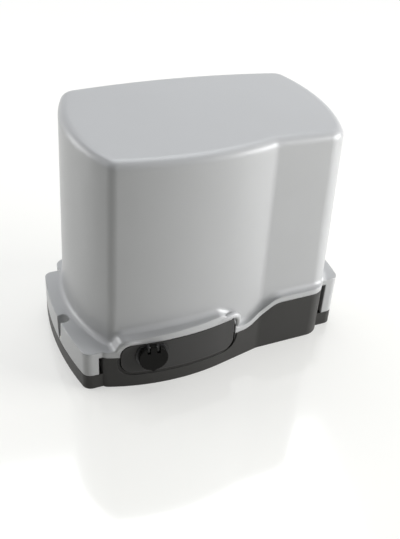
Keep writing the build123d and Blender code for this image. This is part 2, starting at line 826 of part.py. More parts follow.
def ring(outer, inner, plane, depth):
    """Plain ring, such as a bearing, a bush or a washer."""
    with BuildPart() as piece:
        with BuildSketch(plane):
            Circle(outer)
            Circle(inner, mode=Mode.SUBTRACT)
        extrude(amount=depth)
    return piece.part


def bearing(outer, inner, plane, depth):
    """Ball bearing seen as two races with a recessed shield between them."""
    third = (outer - inner) / 4
    with BuildPart() as piece:
        with BuildSketch(plane):
            Circle(outer)
            Circle(inner, mode=Mode.SUBTRACT)
        extrude(amount=depth)
        for face_plane, way in ((plane, 1), (plane.offset(depth), -1)):
            with BuildSketch(face_plane):
                Circle(outer - third)
                Circle(inner + third, mode=Mode.SUBTRACT)
            extrude(amount=way * 0.6, mode=Mode.SUBTRACT)
    return piece.part


def gate_plane(y, x=0.0, z=output_z):
    """Plane across the output shaft at y, facing the gate."""
    return Plane(origin=(x, y, z), x_dir=(-1, 0, 0), z_dir=(0, 1, 0))


wheel_tip_radius = wheel_pitch_radius + gear_module
wheel_root_radius = wheel_pitch_radius - 1.25 * gear_module
worm_root_radius = worm_pitch_radius - 1.25 * gear_module
lead_angle = degrees(atan(gear_module / (2 * worm_pitch_radius)))
chamber_radius = wheel_tip_radius + 2.5
worm_tube_radius = 24.0
worm_bore = 17.5
foot_thickness = 6.0
front_bearing_y = -42.0
front_bearing_depth = 12.0
front_bearing_outer = 21.0
rear_bearing_y = 66.0
rear_bearing_depth = 15.0
bush_front_y = -46.0
seal_y = 82.0
seal_depth = 7.0
bearing_outer = 26.0
shaft_front_radius = 10.0
lower_bearing_z = 20.0
lower_bearing_depth = 11.0
upper_bearing_z = 87.0
upper_bearing_depth = 11.0

# Gearbox housing: one casting with wheel chamber, worm tube, motor flange, nose and foot
with BuildPart() as gearbox_housing:
    with BuildSketch(gate_plane(housing_front_y)):
        Circle(chamber_radius + housing_wall)
    extrude(amount=housing_rear_y - housing_front_y)
    with BuildSketch(Plane.XY.offset(base_floor)):
        with Locations((foot_x, (housing_front_y + housing_rear_y) / 2)):
            RectangleRounded(foot_width, housing_rear_y - housing_front_y, 8)
    extrude(amount=foot_thickness)
    with BuildSketch(Plane.XY.offset(base_floor)):
        with Locations((worm_x, worm_y)):
            Circle(worm_tube_radius)
    extrude(amount=motor_flange_z - base_floor)
    with BuildSketch(Plane.XY.offset(base_floor)):
        with Locations((-14, (housing_front_y + housing_rear_y) / 2)):
            Rectangle(68, housing_rear_y - housing_front_y)
    extrude(amount=20)
    with BuildSketch(Plane.XY.offset(motor_flange_z)):
        with Locations((worm_x, worm_y)):
            Circle(motor_radius)
    extrude(amount=motor_flange)
    with BuildSketch(gate_plane(housing_rear_y)):
        Circle(nose_radius)
    extrude(amount=nose_end_y - housing_rear_y)
    # Chamber, bores and seats
    with BuildSketch(gate_plane(housing_front_y)):
        Circle(chamber_radius)
    extrude(amount=housing_rear_y - housing_front_y - housing_wall, mode=Mode.SUBTRACT)
    with BuildSketch(gate_plane(housing_front_y)):
        Circle(shaft_radius + 5)
    extrude(amount=rear_bearing_y - housing_front_y, mode=Mode.SUBTRACT)
    with BuildSketch(gate_plane(rear_bearing_y)):
        Circle(bearing_outer + fit_gap)
    extrude(amount=nose_end_y - rear_bearing_y, mode=Mode.SUBTRACT)
    with BuildSketch(Plane.XY.offset(lower_bearing_z)):
        with Locations((worm_x, worm_y)):
            Circle(worm_bore + fit_gap)
    extrude(amount=motor_flange_z, mode=Mode.SUBTRACT)
    with BuildSketch(gate_plane(housing_front_y)):
        with PolarLocations(chamber_radius + housing_wall / 2, 6, start_angle=30):
            Circle(1.55)
    extrude(amount=12, mode=Mode.SUBTRACT)
    # Holes for the foot bolts and the motor's through bolts
    with BuildSketch(Plane.XY.offset(base_floor)):
        with Locations(*foot_hole_places):
            Circle(foot_bolt_radius + 0.1)
    extrude(amount=20, mode=Mode.SUBTRACT)
    with BuildSketch(Plane.XY.offset(motor_flange_z)):
        with Locations((worm_x, worm_y)):
            with PolarLocations(through_bolt_circle, 4, start_angle=45):
                Circle(2.05)
    extrude(amount=motor_flange, mode=Mode.SUBTRACT)
save(gearbox_housing, "gearbox_housing")

with BuildPart() as gearbox_bolts:
    for x, y in foot_hole_places:
        with BuildSketch(Plane.XY.offset(base_floor + foot_thickness)):
            with Locations((x, y)):
                RegularPolygon(5, 6, major_radius=False)
        extrude(amount=4)
        with BuildSketch(Plane.XY.offset(blind_z)):
            with Locations((x, y)):
                Circle(foot_bolt_radius)
        extrude(amount=base_floor + foot_thickness - blind_z)
save(gearbox_bolts, "gearbox_bolts")

# Front plate of the gearbox with the front bearing seat and the bush of the release rod
front_plate = 5.0
with BuildPart() as gearbox_cover:
    with BuildSketch(gate_plane(housing_front_y)):
        Circle(chamber_radius + housing_wall)
    extrude(amount=-front_plate)
    with BuildSketch(gate_plane(front_bearing_y - 3)):
        Circle(front_bearing_outer + 3.5)
    extrude(amount=housing_front_y - front_bearing_y + 3)
    with BuildSketch(gate_plane(bush_front_y, x=hinge_x, z=rod_z)):
        Circle(rod_radius + 3)
    extrude(amount=housing_front_y - bush_front_y)
    with BuildSketch(gate_plane(front_bearing_y)):
        Circle(front_bearing_outer + fit_gap)
    extrude(amount=40, mode=Mode.SUBTRACT)
    with BuildSketch(gate_plane(housing_front_y)):
        with PolarLocations(chamber_radius + housing_wall / 2, 6, start_angle=30):
            Circle(1.55)
    extrude(amount=-10, mode=Mode.SUBTRACT)
    with BuildSketch(gate_plane(-80, x=hinge_x, z=rod_z)):
        Circle(rod_radius + fit_gap)
    extrude(amount=60, mode=Mode.SUBTRACT)
    # Room for the edge of the motor flange
    with BuildSketch(Plane.XY.offset(motor_flange_z - running_gap)):
        with Locations((worm_x, worm_y)):
            Circle(motor_radius + running_gap)
    extrude(amount=20, mode=Mode.SUBTRACT)
save(gearbox_cover, "gearbox_cover")

wheel_front_y = wheel_mid_y - wheel_width / 2
hub_front_y = sleeve_front_y + sleeve_length + running_gap
hub_rear_y = housing_rear_y - housing_wall - running_gap
dog_inner_radius = 13.6
dog_outer_radius = 17.4
axial_pitch = pi * gear_module
thread_turns = 5
slant = radians(lead_angle)

# One tooth gap of the worm wheel, slanted like the worm's thread where the two mesh
with BuildPart() as tooth_gap:
    mesh_plane = Plane(
        origin=(-wheel_pitch_radius, wheel_mid_y, output_z),
        x_dir=(-1, 0, 0),
        z_dir=(0, cos(slant), sin(slant)),
    )
    gap_half = (axial_pitch / 2 + gear_play) / 2
    gap_root = gap_half - 1.25 * gear_module * tan(radians(20))
    gap_top = gap_half + 1.5 * gear_module * tan(radians(20))
    with BuildSketch(mesh_plane):
        with BuildLine():
            Polyline(
                (-1.25 * gear_module, -gap_root),
                (1.5 * gear_module, -gap_top),
                (1.5 * gear_module, gap_top),
                (-1.25 * gear_module, gap_root),
                close=True,
            )
        make_face()
    extrude(amount=wheel_width, both=True)

output_axis = Axis((0, 0, output_z), (0, 1, 0))
with BuildPart() as worm_wheel:
    with BuildSketch(gate_plane(wheel_front_y)):
        Circle(wheel_tip_radius)
    extrude(amount=wheel_width)
    for i in range(wheel_teeth):
        add(tooth_gap.part.rotate(output_axis, 360 / wheel_teeth * i), mode=Mode.SUBTRACT)
    for face_y, way in ((wheel_front_y, 1), (wheel_front_y + wheel_width, -1)):
        with BuildSketch(gate_plane(face_y)):
            Circle(wheel_root_radius - 5)
            Circle(wheel_hub_radius, mode=Mode.SUBTRACT)
        extrude(amount=way * 5, mode=Mode.SUBTRACT)
    with BuildSketch(gate_plane(hub_front_y)):
        Circle(wheel_hub_radius)
    extrude(amount=hub_rear_y - hub_front_y)
    with BuildSketch(gate_plane(hub_front_y)):
        Circle(dog_outer_radius + 0.4)
        Circle(dog_inner_radius - 0.4, mode=Mode.SUBTRACT)
        with PolarLocations(0, 4, start_angle=45):
            with Locations((15, 0)):
                Rectangle(12, 11, mode=Mode.SUBTRACT)
    extrude(amount=dog_length + 0.5, mode=Mode.SUBTRACT)
    with BuildSketch(gate_plane(hub_front_y)):
        Circle(shaft_radius + fit_gap)
    extrude(amount=60, mode=Mode.SUBTRACT)
save(worm_wheel, "worm_wheel")

# Clutch sleeve with a groove for the fork and four dogs towards the wheel
with BuildPart() as clutch_sleeve:
    with BuildSketch(gate_plane(sleeve_front_y)):
        Circle(sleeve_radius)
    extrude(amount=sleeve_length)
    with BuildSketch(gate_plane(sleeve_front_y + (sleeve_length - groove_width) / 2)):
        Circle(sleeve_radius + 1)
        Circle(groove_radius, mode=Mode.SUBTRACT)
    extrude(amount=groove_width, mode=Mode.SUBTRACT)
    with BuildSketch(gate_plane(sleeve_front_y + sleeve_length)):
        Circle(dog_outer_radius)
        Circle(dog_inner_radius, mode=Mode.SUBTRACT)
        with PolarLocations(0, 4, start_angle=45):
            with Locations((15, 0)):
                Rectangle(14, 13, mode=Mode.SUBTRACT)
    extrude(amount=dog_length)
    with BuildSketch(gate_plane(sleeve_front_y - 1)):
        Circle(shaft_radius + fit_gap)
        with Locations((0, shaft_radius)):
            Rectangle(6.2, 5.4)
    extrude(amount=sleeve_length + dog_length + 2, mode=Mode.SUBTRACT)
save(clutch_sleeve, "clutch_sleeve")

shaft_end_y = pinion_y + pinion_width - 0.5
with BuildPart() as output_shaft:
    with BuildSketch(gate_plane(front_bearing_y)):
        Circle(shaft_front_radius)
    extrude(amount=front_bearing_depth + 2)
    with BuildSketch(gate_plane(front_bearing_y + front_bearing_depth)):
        Circle(shaft_radius)
    extrude(amount=shaft_end_y - front_bearing_y - front_bearing_depth)
    with BuildSketch(gate_plane(hub_rear_y)):
        Circle(shaft_radius + 3)
    extrude(amount=rear_bearing_y - hub_rear_y)
    chamfer(output_shaft.edges().filter_by(GeomType.CIRCLE).sort_by(Axis.Y)[-1], 1)
    # Keyways for the sleeve and the pinion, and the tapped end
    with BuildSketch(gate_plane(sleeve_front_y - 7)):
        with Locations((0, shaft_radius)):
            Rectangle(6, 5)
    extrude(amount=sleeve_length + 7, mode=Mode.SUBTRACT)
    with BuildSketch(gate_plane(pinion_y)):
        with Locations((0, shaft_radius)):
            Rectangle(8, 7)
    extrude(amount=pinion_width - 4, mode=Mode.SUBTRACT)
    with BuildSketch(gate_plane(shaft_end_y)):
        Circle(4)
    extrude(amount=-22, mode=Mode.SUBTRACT)
    with BuildSketch(gate_plane(pinion_y - 1.9)):
        Circle(shaft_radius + 1)
        Circle(shaft_radius - 0.8, mode=Mode.SUBTRACT)
    extrude(amount=1.6, mode=Mode.SUBTRACT)
save(output_shaft, "output_shaft")

with BuildPart() as sleeve_key:
    with BuildSketch(gate_plane(sleeve_front_y - 7)):
        with Locations((0, shaft_radius)):
            Rectangle(6, 5)
    extrude(amount=sleeve_length + 7)
save(sleeve_key, "sleeve_key")
with BuildPart() as pinion_key:
    with BuildSketch(gate_plane(pinion_y)):
        with Locations((0, shaft_radius)):
            Rectangle(8, 7)
    extrude(amount=pinion_width - 4)
save(pinion_key, "pinion_key")

with BuildPart() as shaft_clip:
    with BuildSketch(gate_plane(pinion_y - 1.9)):
        Circle(shaft_radius + 2.2)
        Circle(shaft_radius - 0.75, mode=Mode.SUBTRACT)
        with Locations((0, -14)):
            Rectangle(6, 8, mode=Mode.SUBTRACT)
    extrude(amount=1.6)
save(shaft_clip, "shaft_clip")

# Pinion: involute flanks from a few points of the involute's own formula
pinion_pitch_radius = pinion_module * pinion_teeth / 2
pinion_tip_radius = pinion_pitch_radius + pinion_module
pinion_root_radius = pinion_pitch_radius - 1.25 * pinion_module
pinion_base_radius = pinion_pitch_radius * cos(radians(20))
involute_at_pitch = tan(radians(20)) - radians(20)
half_tooth_angle = pi / (2 * pinion_teeth)


def flank_angle(radius):
    """Half the angle of a tooth at a radius outside the base circle."""
    roll = sqrt((radius / pinion_base_radius) ** 2 - 1)
    return half_tooth_angle + involute_at_pitch - (roll - atan(roll))


addendum_radius = (pinion_pitch_radius + pinion_tip_radius) / 2
flank_radii = [pinion_base_radius, pinion_pitch_radius, addendum_radius, pinion_tip_radius]
flank = [(radius, flank_angle(radius)) for radius in flank_radii]
left_side = [(r * cos(a), r * sin(a)) for r, a in flank]
right_side = [(r * cos(a), -r * sin(a)) for r, a in reversed(flank)]
root_angle = flank_angle(pinion_base_radius)
root_points = [(pinion_root_radius - 1) * cos(root_angle), (pinion_root_radius - 1) * sin(root_angle)]
with BuildPart() as pinion:
    with BuildSketch(gate_plane(pinion_y)):
        Circle(pinion_root_radius)
        with BuildSketch(mode=Mode.PRIVATE) as tooth:
            with BuildLine():
                Polyline(
                    (root_points[0], -root_points[1]),
                    (root_points[0], root_points[1]),
                    *left_side,
                    *right_side,
                    close=True,
                )
            make_face()
        with PolarLocations(0, pinion_teeth):
            add(tooth.sketch)
    extrude(amount=pinion_width)
    with BuildSketch(gate_plane(pinion_y)):
        Circle(shaft_radius + fit_gap)
        with Locations((0, shaft_radius)):
            Rectangle(8.1, 7.4)
    extrude(amount=pinion_width, mode=Mode.SUBTRACT)
save(pinion, "pinion")

with BuildPart() as pinion_washer:
    with BuildSketch(gate_plane(pinion_y + pinion_width)):
        Circle(16)
        Circle(4.3, mode=Mode.SUBTRACT)
    extrude(amount=2.5)
save(pinion_washer, "pinion_washer")
with BuildPart() as pinion_bolt:
    with BuildSketch(gate_plane(pinion_y + pinion_width + 2.5)):
        RegularPolygon(6.5, 6, major_radius=False)
    extrude(amount=5.3)
    with BuildSketch(gate_plane(pinion_y + pinion_width + 2.5)):
        Circle(3.95)
    extrude(amount=-22)
save(pinion_bolt, "pinion_bolt")

with BuildPart() as bearings:
    front_seat = gate_plane(front_bearing_y)
    add(bearing(front_bearing_outer, shaft_front_radius + fit_gap, front_seat, front_bearing_depth))
    rear_seat = gate_plane(rear_bearing_y)
    add(bearing(bearing_outer, shaft_radius + fit_gap, rear_seat, rear_bearing_depth))
with BuildPart() as output_seal:
    with BuildSketch(gate_plane(seal_y)):
        Circle(bearing_outer)
        Circle(shaft_radius + 0.1, mode=Mode.SUBTRACT)
    extrude(amount=seal_depth)
    with BuildSketch(gate_plane(seal_y + seal_depth)):
        Circle(bearing_outer - 3)
        Circle(shaft_radius + 3, mode=Mode.SUBTRACT)
    extrude(amount=-4, mode=Mode.SUBTRACT)
save(output_seal, "output_seal")

# Worm with its motor shaft: the thread is a swept trapezoid
thread_start_z = output_z - thread_turns / 2 * axial_pitch
with BuildPart() as thread:
    with BuildLine() as thread_path:
        Helix(axial_pitch, thread_turns * axial_pitch, worm_pitch_radius, center=(0, 0, thread_start_z))
    start = thread_path.line @ 0
    with BuildSketch(Plane(origin=start, x_dir=(1, 0, 0), z_dir=thread_path.line % 0)):
        thread_half = (axial_pitch / 2 - gear_play) / 2
        thread_root = thread_half + 1.25 * gear_module * tan(radians(20))
        thread_top = thread_half - gear_module * tan(radians(20))
        with BuildLine():
            Polyline(
                (-1.25 * gear_module - 0.4, -thread_root),
                (gear_module, -thread_top),
                (gear_module, thread_top),
                (-1.25 * gear_module - 0.4, thread_root),
                close=True,
            )
        make_face()
    sweep(path=thread_path.line, is_frenet=True)
shaft_steps = [
    (lower_bearing_z, lower_bearing_z + lower_bearing_depth, 7.5),
    (lower_bearing_z + lower_bearing_depth, upper_bearing_z, worm_root_radius),
    (upper_bearing_z, 122, 8.0),
    (122, 196, 9.0),
    (196, 211, 7.5),
    (211, 222, 6.0),
]
with BuildPart() as worm_shaft:
    for low_z, high_z, radius in shaft_steps:
        with BuildSketch(Plane.XY.offset(low_z)):
            with Locations((worm_x, worm_y)):
                Circle(radius)
        extrude(amount=high_z - low_z)
    add(thread.part.rotate(Axis.Z, 180).moved(Location((worm_x, worm_y, 0))))
save(worm_shaft, "worm_shaft")


def at_worm(z):
    """Plane across the worm and motor axis at z."""
    return Plane(origin=(worm_x, worm_y, z), x_dir=(1, 0, 0), z_dir=(0, 0, 1))


with bearings:
    add(bearing(worm_bore, 7.5 + fit_gap, at_worm(lower_bearing_z), lower_bearing_depth))
    add(bearing(worm_bore, 8.0 + fit_gap, at_worm(upper_bearing_z), upper_bearing_depth))
    add(bearing(17.5, 7.5 + fit_gap, at_worm(199), 11))
save(bearings, "bearings")

with BuildPart() as worm_seal:
    add(ring(worm_bore, 8.0 + 0.1, at_worm(motor_flange_z + 0.5), 7))
save(worm_seal, "worm_seal")
with BuildPart() as gearbox_screws:
    with BuildSketch(gate_plane(housing_front_y - front_plate)):
        with PolarLocations(chamber_radius + housing_wall / 2, 6, start_angle=30):
            Circle(2.2)
    extrude(amount=-2.5)
    with BuildSketch(gate_plane(housing_front_y - front_plate)):
        with PolarLocations(chamber_radius + housing_wall / 2, 6, start_angle=30):
            Circle(1.5)
    extrude(amount=14)
save(gearbox_screws, "gearbox_screws")

# Release rod with collar and fork; its round tip follows the panel's spiral cam
rod_tip_y = hinge_y + cam_high + rod_play
collar_y = -66.0
fork_thickness = groove_width - 2 * running_gap
fork_y = sleeve_front_y + (sleeve_length - fork_thickness) / 2
with BuildPart() as release_rod:
    with BuildSketch(gate_plane(rod_tip_y, x=hinge_x, z=rod_z)):
        Circle(rod_radius)
    extrude(amount=fork_y + fork_thickness - rod_tip_y)
    fillet(release_rod.edges().filter_by(GeomType.CIRCLE).sort_by(Axis.Y)[0], rod_radius - 0.1)
    with BuildSketch(gate_plane(collar_y, x=hinge_x, z=rod_z)):
        Circle(rod_radius + 3)
    extrude(amount=2)
    with BuildSketch(gate_plane(fork_y)):
        Circle(groove_radius + 8.5)
        with Locations((0, 20)):
            Rectangle(80, 38, mode=Mode.SUBTRACT)
        with Locations((-hinge_x, rod_z - output_z)):
            Circle(rod_radius + 3)
        Circle(groove_radius + running_gap, mode=Mode.SUBTRACT)
    extrude(amount=fork_thickness)
save(release_rod, "release_rod")

# Compression spring on the rod, between the bush and the collar
spring_wire = 0.9
spring_mean_radius = rod_radius + 1.9
spring_start_y = collar_y + 2 + 0.3 + spring_wire
spring_length = bush_front_y - 0.3 - spring_wire - spring_start_y
with BuildPart() as coil:
    with BuildLine() as spring_path:
        Helix(spring_length / 5, spring_length, spring_mean_radius)
    with BuildSketch(Plane(origin=spring_path.line @ 0, z_dir=spring_path.line % 0)):
        Circle(spring_wire)
    sweep(path=spring_path.line, is_frenet=True)
spring_place = Plane(origin=(hinge_x, spring_start_y, rod_z), x_dir=(-1, 0, 0), z_dir=(0, 1, 0))
with BuildPart() as release_spring:
    add(coil.part.moved(spring_place.location))
save(release_spring, "release_spring")

# Motor: two end shields, slotted stack with winding, rotor, through bolts and encoder
slot_count = 12
slot_width = 6.0
shield_floor = 5.0
shield_seat = stack_z + 6.0
upper_shield_z = stack_z + stack_height - 6.0
shield_top_z = 208.0
bearing_pocket_z = 199.0
winding_inner = 30.0
winding_outer = 40.0
winding_overhang = 10.0


def bolt_circle(radius):
    """Circles at the four through bolts around the motor axis."""
    with BuildSketch() as circles:
        with Locations((worm_x, worm_y)):
            with PolarLocations(through_bolt_circle, 4, start_angle=45):
                Circle(radius)
    return circles.sketch


with BuildPart() as motor_lower_shield:
    with BuildSketch(at_worm(motor_flange_z + motor_flange)):
        Circle(motor_radius)
    extrude(amount=shield_seat - motor_flange_z - motor_flange)
    with BuildSketch(at_worm(motor_flange_z + motor_flange + shield_floor)):
        Circle(stack_radius - 2)
    extrude(amount=50, mode=Mode.SUBTRACT)
    with BuildSketch(at_worm(stack_z)):
        Circle(stack_radius + fit_gap)
    extrude(amount=50, mode=Mode.SUBTRACT)
    with BuildSketch(at_worm(motor_flange_z)):
        Circle(11)
    extrude(amount=50, mode=Mode.SUBTRACT)
    extrude(bolt_circle(2.05).moved(Location((0, 0, motor_flange_z))), amount=50, mode=Mode.SUBTRACT)
save(motor_lower_shield, "motor_lower_shield")

with BuildPart() as motor_upper_shield:
    with BuildSketch(at_worm(upper_shield_z)):
        Circle(motor_radius)
    extrude(amount=shield_top_z - upper_shield_z)
    fillet(motor_upper_shield.edges().filter_by(GeomType.CIRCLE).sort_by(Axis.Z)[-1], 3)
    with BuildSketch(at_worm(upper_shield_z)):
        Circle(stack_radius - 2)
    extrude(amount=shield_top_z - shield_floor - upper_shield_z, mode=Mode.SUBTRACT)
    with BuildSketch(at_worm(upper_shield_z)):
        Circle(stack_radius + fit_gap)
    extrude(amount=6, mode=Mode.SUBTRACT)
    with BuildSketch(at_worm(bearing_pocket_z - 2)):
        Circle(worm_bore + 4)
    extrude(amount=shield_top_z + 2 - bearing_pocket_z + 2)
    with BuildSketch(at_worm(bearing_pocket_z)):
        Circle(worm_bore + fit_gap)
    extrude(amount=50, mode=Mode.SUBTRACT)
    with BuildSketch(at_worm(upper_shield_z)):
        Circle(11)
    extrude(amount=50, mode=Mode.SUBTRACT)
    extrude(bolt_circle(2.05).moved(Location((0, 0, upper_shield_z))), amount=50, mode=Mode.SUBTRACT)
save(motor_upper_shield, "motor_upper_shield")

with BuildPart() as stator_stack:
    with BuildSketch(at_worm(stack_z)):
        Circle(stack_radius)
        Circle(stack_bore, mode=Mode.SUBTRACT)
        with PolarLocations((winding_inner + winding_outer) / 2, slot_count):
            Rectangle(winding_outer - winding_inner + 0.2, slot_width + 0.2, mode=Mode.SUBTRACT)
        with PolarLocations(winding_inner - 1, slot_count):
            Rectangle(4, 2.2, mode=Mode.SUBTRACT)
    extrude(amount=stack_height)
    extrude(bolt_circle(2.05).moved(Location((0, 0, stack_z))), amount=stack_height, mode=Mode.SUBTRACT)
save(stator_stack, "stator_stack")

with BuildPart() as stator_winding:
    for low_z in (stack_z - winding_overhang, stack_z + stack_height + 0.3):
        with BuildSketch(at_worm(low_z)):
            Circle(winding_outer + 0.5)
            Circle(winding_inner, mode=Mode.SUBTRACT)
        extrude(amount=winding_overhang - 0.3)
    fillet(stator_winding.edges().filter_by(GeomType.CIRCLE), 3)
    with BuildSketch(at_worm(stack_z - 2)):
        with PolarLocations((winding_inner + winding_outer) / 2, slot_count):
            Rectangle(winding_outer - winding_inner, slot_width)
    extrude(amount=stack_height + 4)
save(stator_winding, "stator_winding")

with BuildPart() as rotor:
    with BuildSketch(at_worm(stack_z)):
        Circle(rotor_radius)
    extrude(amount=stack_height)
    with BuildSketch(at_worm(stack_z - 4)):
        Circle(rotor_radius - 2)
    extrude(amount=stack_height + 8)
    for low_z in (stack_z - 4, stack_z + stack_height):
        with BuildSketch(at_worm(low_z)):
            Circle(14)
        extrude(amount=4, mode=Mode.SUBTRACT)
    with BuildSketch(at_worm(stack_z - 4)):
        Circle(9 + fit_gap)
    extrude(amount=stack_height + 8, mode=Mode.SUBTRACT)
save(rotor, "rotor")

with BuildPart() as through_bolts:
    shank_length = shield_top_z - motor_flange_z - 1
    extrude(bolt_circle(2.0).moved(Location((0, 0, motor_flange_z + 1))), amount=shank_length)
    extrude(bolt_circle(3.8).moved(Location((0, 0, shield_top_z))), amount=4)
save(through_bolts, "through_bolts")

encoder_z = 213.0
with BuildPart() as encoder_disc:
    with BuildSketch(at_worm(encoder_z)):
        Circle(18)
        with PolarLocations(15.5, 16):
            Rectangle(2.6, 2.4, mode=Mode.SUBTRACT)
    extrude(amount=1.6)
    with BuildSketch(at_worm(encoder_z)):
        Circle(9)
    extrude(amount=6)
    with BuildSketch(at_worm(encoder_z)):
        Circle(6 + fit_gap)
    extrude(amount=10, mode=Mode.SUBTRACT)
save(encoder_disc, "encoder_disc")
with BuildPart() as encoder_sensor:
    with BuildSketch(at_worm(shield_top_z + 2)):
        with Locations((0, -22)):
            Rectangle(12, 18)
    extrude(amount=9)
    with BuildSketch(at_worm(encoder_z - 1)):
        with Locations((0, -16)):
            Rectangle(14, 12)
    extrude(amount=3.6, mode=Mode.SUBTRACT)
    with BuildSketch(at_worm(shield_top_z)):
        with Locations((0, -27)):
            Rectangle(12, 8)
    extrude(amount=4)
save(encoder_sensor, "encoder_sensor")


def at_transformer(z):
    """Plane across the transformer's middle at z."""
    return Plane(origin=(transformer_x, transformer_y, z), x_dir=(1, 0, 0), z_dir=(0, 0, 1))


# Ring transformer between two pads, held by a dished plate and one bolt
seat_top_z = base_floor + 3.0
coil_z = seat_top_z + 2.0
coil_top_z = coil_z + transformer_height
with BuildPart() as transformer_pads:
    add(ring(transformer_radius - 2, 5, at_transformer(seat_top_z), 2))
    add(ring(transformer_radius - 2, 5, at_transformer(coil_top_z), 2))
save(transformer_pads, "transformer_pads")
with BuildPart() as transformer:
    with BuildSketch(at_transformer(coil_z)):
        Circle(transformer_radius)
        Circle(12, mode=Mode.SUBTRACT)
    extrude(amount=transformer_height)
    fillet(transformer.edges().filter_by(GeomType.CIRCLE), 7)
save(transformer, "transformer")
with BuildPart() as transformer_plate:
    with BuildSketch(at_transformer(coil_top_z + 2)):
        Circle(28)
        Circle(3.3, mode=Mode.SUBTRACT)
    extrude(amount=1.6)
save(transformer_plate, "transformer_plate")
with BuildPart() as transformer_bolt:
    with BuildSketch(at_transformer(blind_z)):
        Circle(3)
    extrude(amount=coil_top_z + 3.6 - blind_z)
    with BuildSketch(at_transformer(coil_top_z + 3.6)):
        RegularPolygon(5, 6, major_radius=False)
    extrude(amount=4)
save(transformer_bolt, "transformer_bolt")


def at_capacitor(z):
    """Plane across the run capacitor's middle at z."""
    return Plane(origin=(capacitor_x, capacitor_y, z), x_dir=(1, 0, 0), z_dir=(0, 0, 1))


with BuildPart() as capacitor_cup:
    with BuildSketch(at_capacitor(base_floor)):
        Circle(capacitor_radius + 2.5)
    extrude(amount=25)
    with BuildSketch(at_capacitor(base_floor + 2)):
        Circle(capacitor_radius + fit_gap)
    extrude(amount=30, mode=Mode.SUBTRACT)
save(capacitor_cup, "capacitor_cup")
with BuildPart() as run_capacitor:
    with BuildSketch(at_capacitor(base_floor + 2)):
        Circle(capacitor_radius)
    extrude(amount=capacitor_height)
    fillet(run_capacitor.edges().filter_by(GeomType.CIRCLE).sort_by(Axis.Z)[-1], 2)
    with BuildSketch(at_capacitor(base_floor + 2 + capacitor_height)):
        with Locations((-6, 0), (6, 0)):
            Rectangle(0.8, 6.3)
    extrude(amount=9)
save(run_capacitor, "run_capacitor")

# Board tray on two posts of the base, board with its parts
tray_y = board_y + 2.0
tray_thickness = 2.0
board_middle_x = board_left_x + board_width / 2
board_middle_z = board_z + board_height / 2
with BuildPart() as board_tray:
    with BuildSketch(Plane.XZ.offset(-tray_y)):
        with Locations((board_middle_x, board_middle_z)):
            RectangleRounded(board_width + 4, board_height + 4, 5)
        for x in (post_left_x, post_right_x):
            with Locations((x, (post_top_z + board_middle_z) / 2)):
                Rectangle(12, board_middle_z - post_top_z)
    extrude(amount=-tray_thickness)
    with BuildSketch(Plane.XY.offset(post_top_z)):
        for x in (post_left_x, post_right_x):
            with Locations((x, (tray_y + post_y - 5) / 2 + 1)):
                Rectangle(12, tray_y - post_y + 7)
            with Locations((x, post_y)):
                Circle(1.7, mode=Mode.SUBTRACT)
    extrude(amount=2.5)
    with BuildSketch(Plane.XZ.offset(-board_y)):
        with Locations((board_middle_x, board_middle_z)):
            with GridLocations(board_width - 10, board_height - 10, 2, 2):
                Circle(3.5)
    extrude(amount=-(tray_y - board_y))
save(board_tray, "board_tray")
with BuildPart() as pan_screws:
    for x in (post_left_x, post_right_x):
        with BuildSketch(Plane.XY.offset(post_top_z + 2.5)):
            with Locations((x, post_y)):
                Circle(2.8)
        extrude(amount=2)
        with BuildSketch(Plane.XY.offset(post_top_z - 8)):
            with Locations((x, post_y)):
                Circle(1.5)
        extrude(amount=10.5)

board_face_y = board_y - board_thickness
with BuildPart() as control_board:
    with BuildSketch(Plane.XZ.offset(-board_y)):
        with Locations((board_middle_x, board_middle_z)):
            RectangleRounded(board_width, board_height, 2)
    extrude(amount=board_thickness)
save(control_board, "control_board")


def on_board(x, z):
    """Plane on the board's front face, x from its left edge and z from its lower edge."""
    return Plane(origin=(board_left_x + x, board_face_y, board_z + z), x_dir=(1, 0, 0), z_dir=(0, -1, 0))


with pan_screws:
    for x in (5, board_width - 5):
        for z in (5, board_height - 5):
            with BuildSketch(on_board(x, z)):
                Circle(2.8)
            extrude(amount=2)

terminal_pitch = 5.08
terminal_ways = 24
with BuildPart() as terminal_blocks:
    with BuildSketch(on_board(board_width / 2, 14)):
        Rectangle(terminal_ways * terminal_pitch, 9)
    extrude(amount=10)
    chamfer(terminal_blocks.edges().filter_by(Axis.X).group_by(Axis.Y)[0], 2)
    with BuildSketch(on_board(board_width / 2, 14).offset(10)):
        with GridLocations(terminal_pitch, 1, terminal_ways, 1):
            Circle(1.6)
    extrude(amount=-2, mode=Mode.SUBTRACT)
save(terminal_blocks, "terminal_blocks")

with BuildPart() as relays:
    for x in (24, 48, 72):
        with BuildSketch(on_board(x, 44)):
            Rectangle(19, 15.5)
        extrude(amount=14.5)
    chamfer(relays.edges().filter_by(Axis.Y), 0.8)
save(relays, "relays")
with BuildPart() as fuse_holder:
    with BuildSketch(on_board(22, 80)):
        Rectangle(24, 9)
    extrude(amount=9)
    with BuildSketch(on_board(22, 80).offset(9)):
        Rectangle(14, 6)
    extrude(amount=-6, mode=Mode.SUBTRACT)
    with BuildSketch(Plane(origin=(board_left_x + 12, board_face_y - 6, board_z + 80), z_dir=(1, 0, 0))):
        Circle(2.6)
    extrude(amount=20)
save(fuse_holder, "fuse_holder")
with BuildPart() as board_capacitors:
    for x, z in ((98, 44), (114, 44), (98, 60)):
        with BuildSketch(on_board(x, z)):
            Circle(6.3)
        extrude(amount=13)
    fillet(board_capacitors.edges().filter_by(GeomType.CIRCLE).group_by(Axis.Y)[0], 0.8)
save(board_capacitors, "board_capacitors")
with BuildPart() as processor:
    with BuildSketch(on_board(66, 78)):
        Rectangle(14, 14)
    extrude(amount=1.6)
save(processor, "processor")
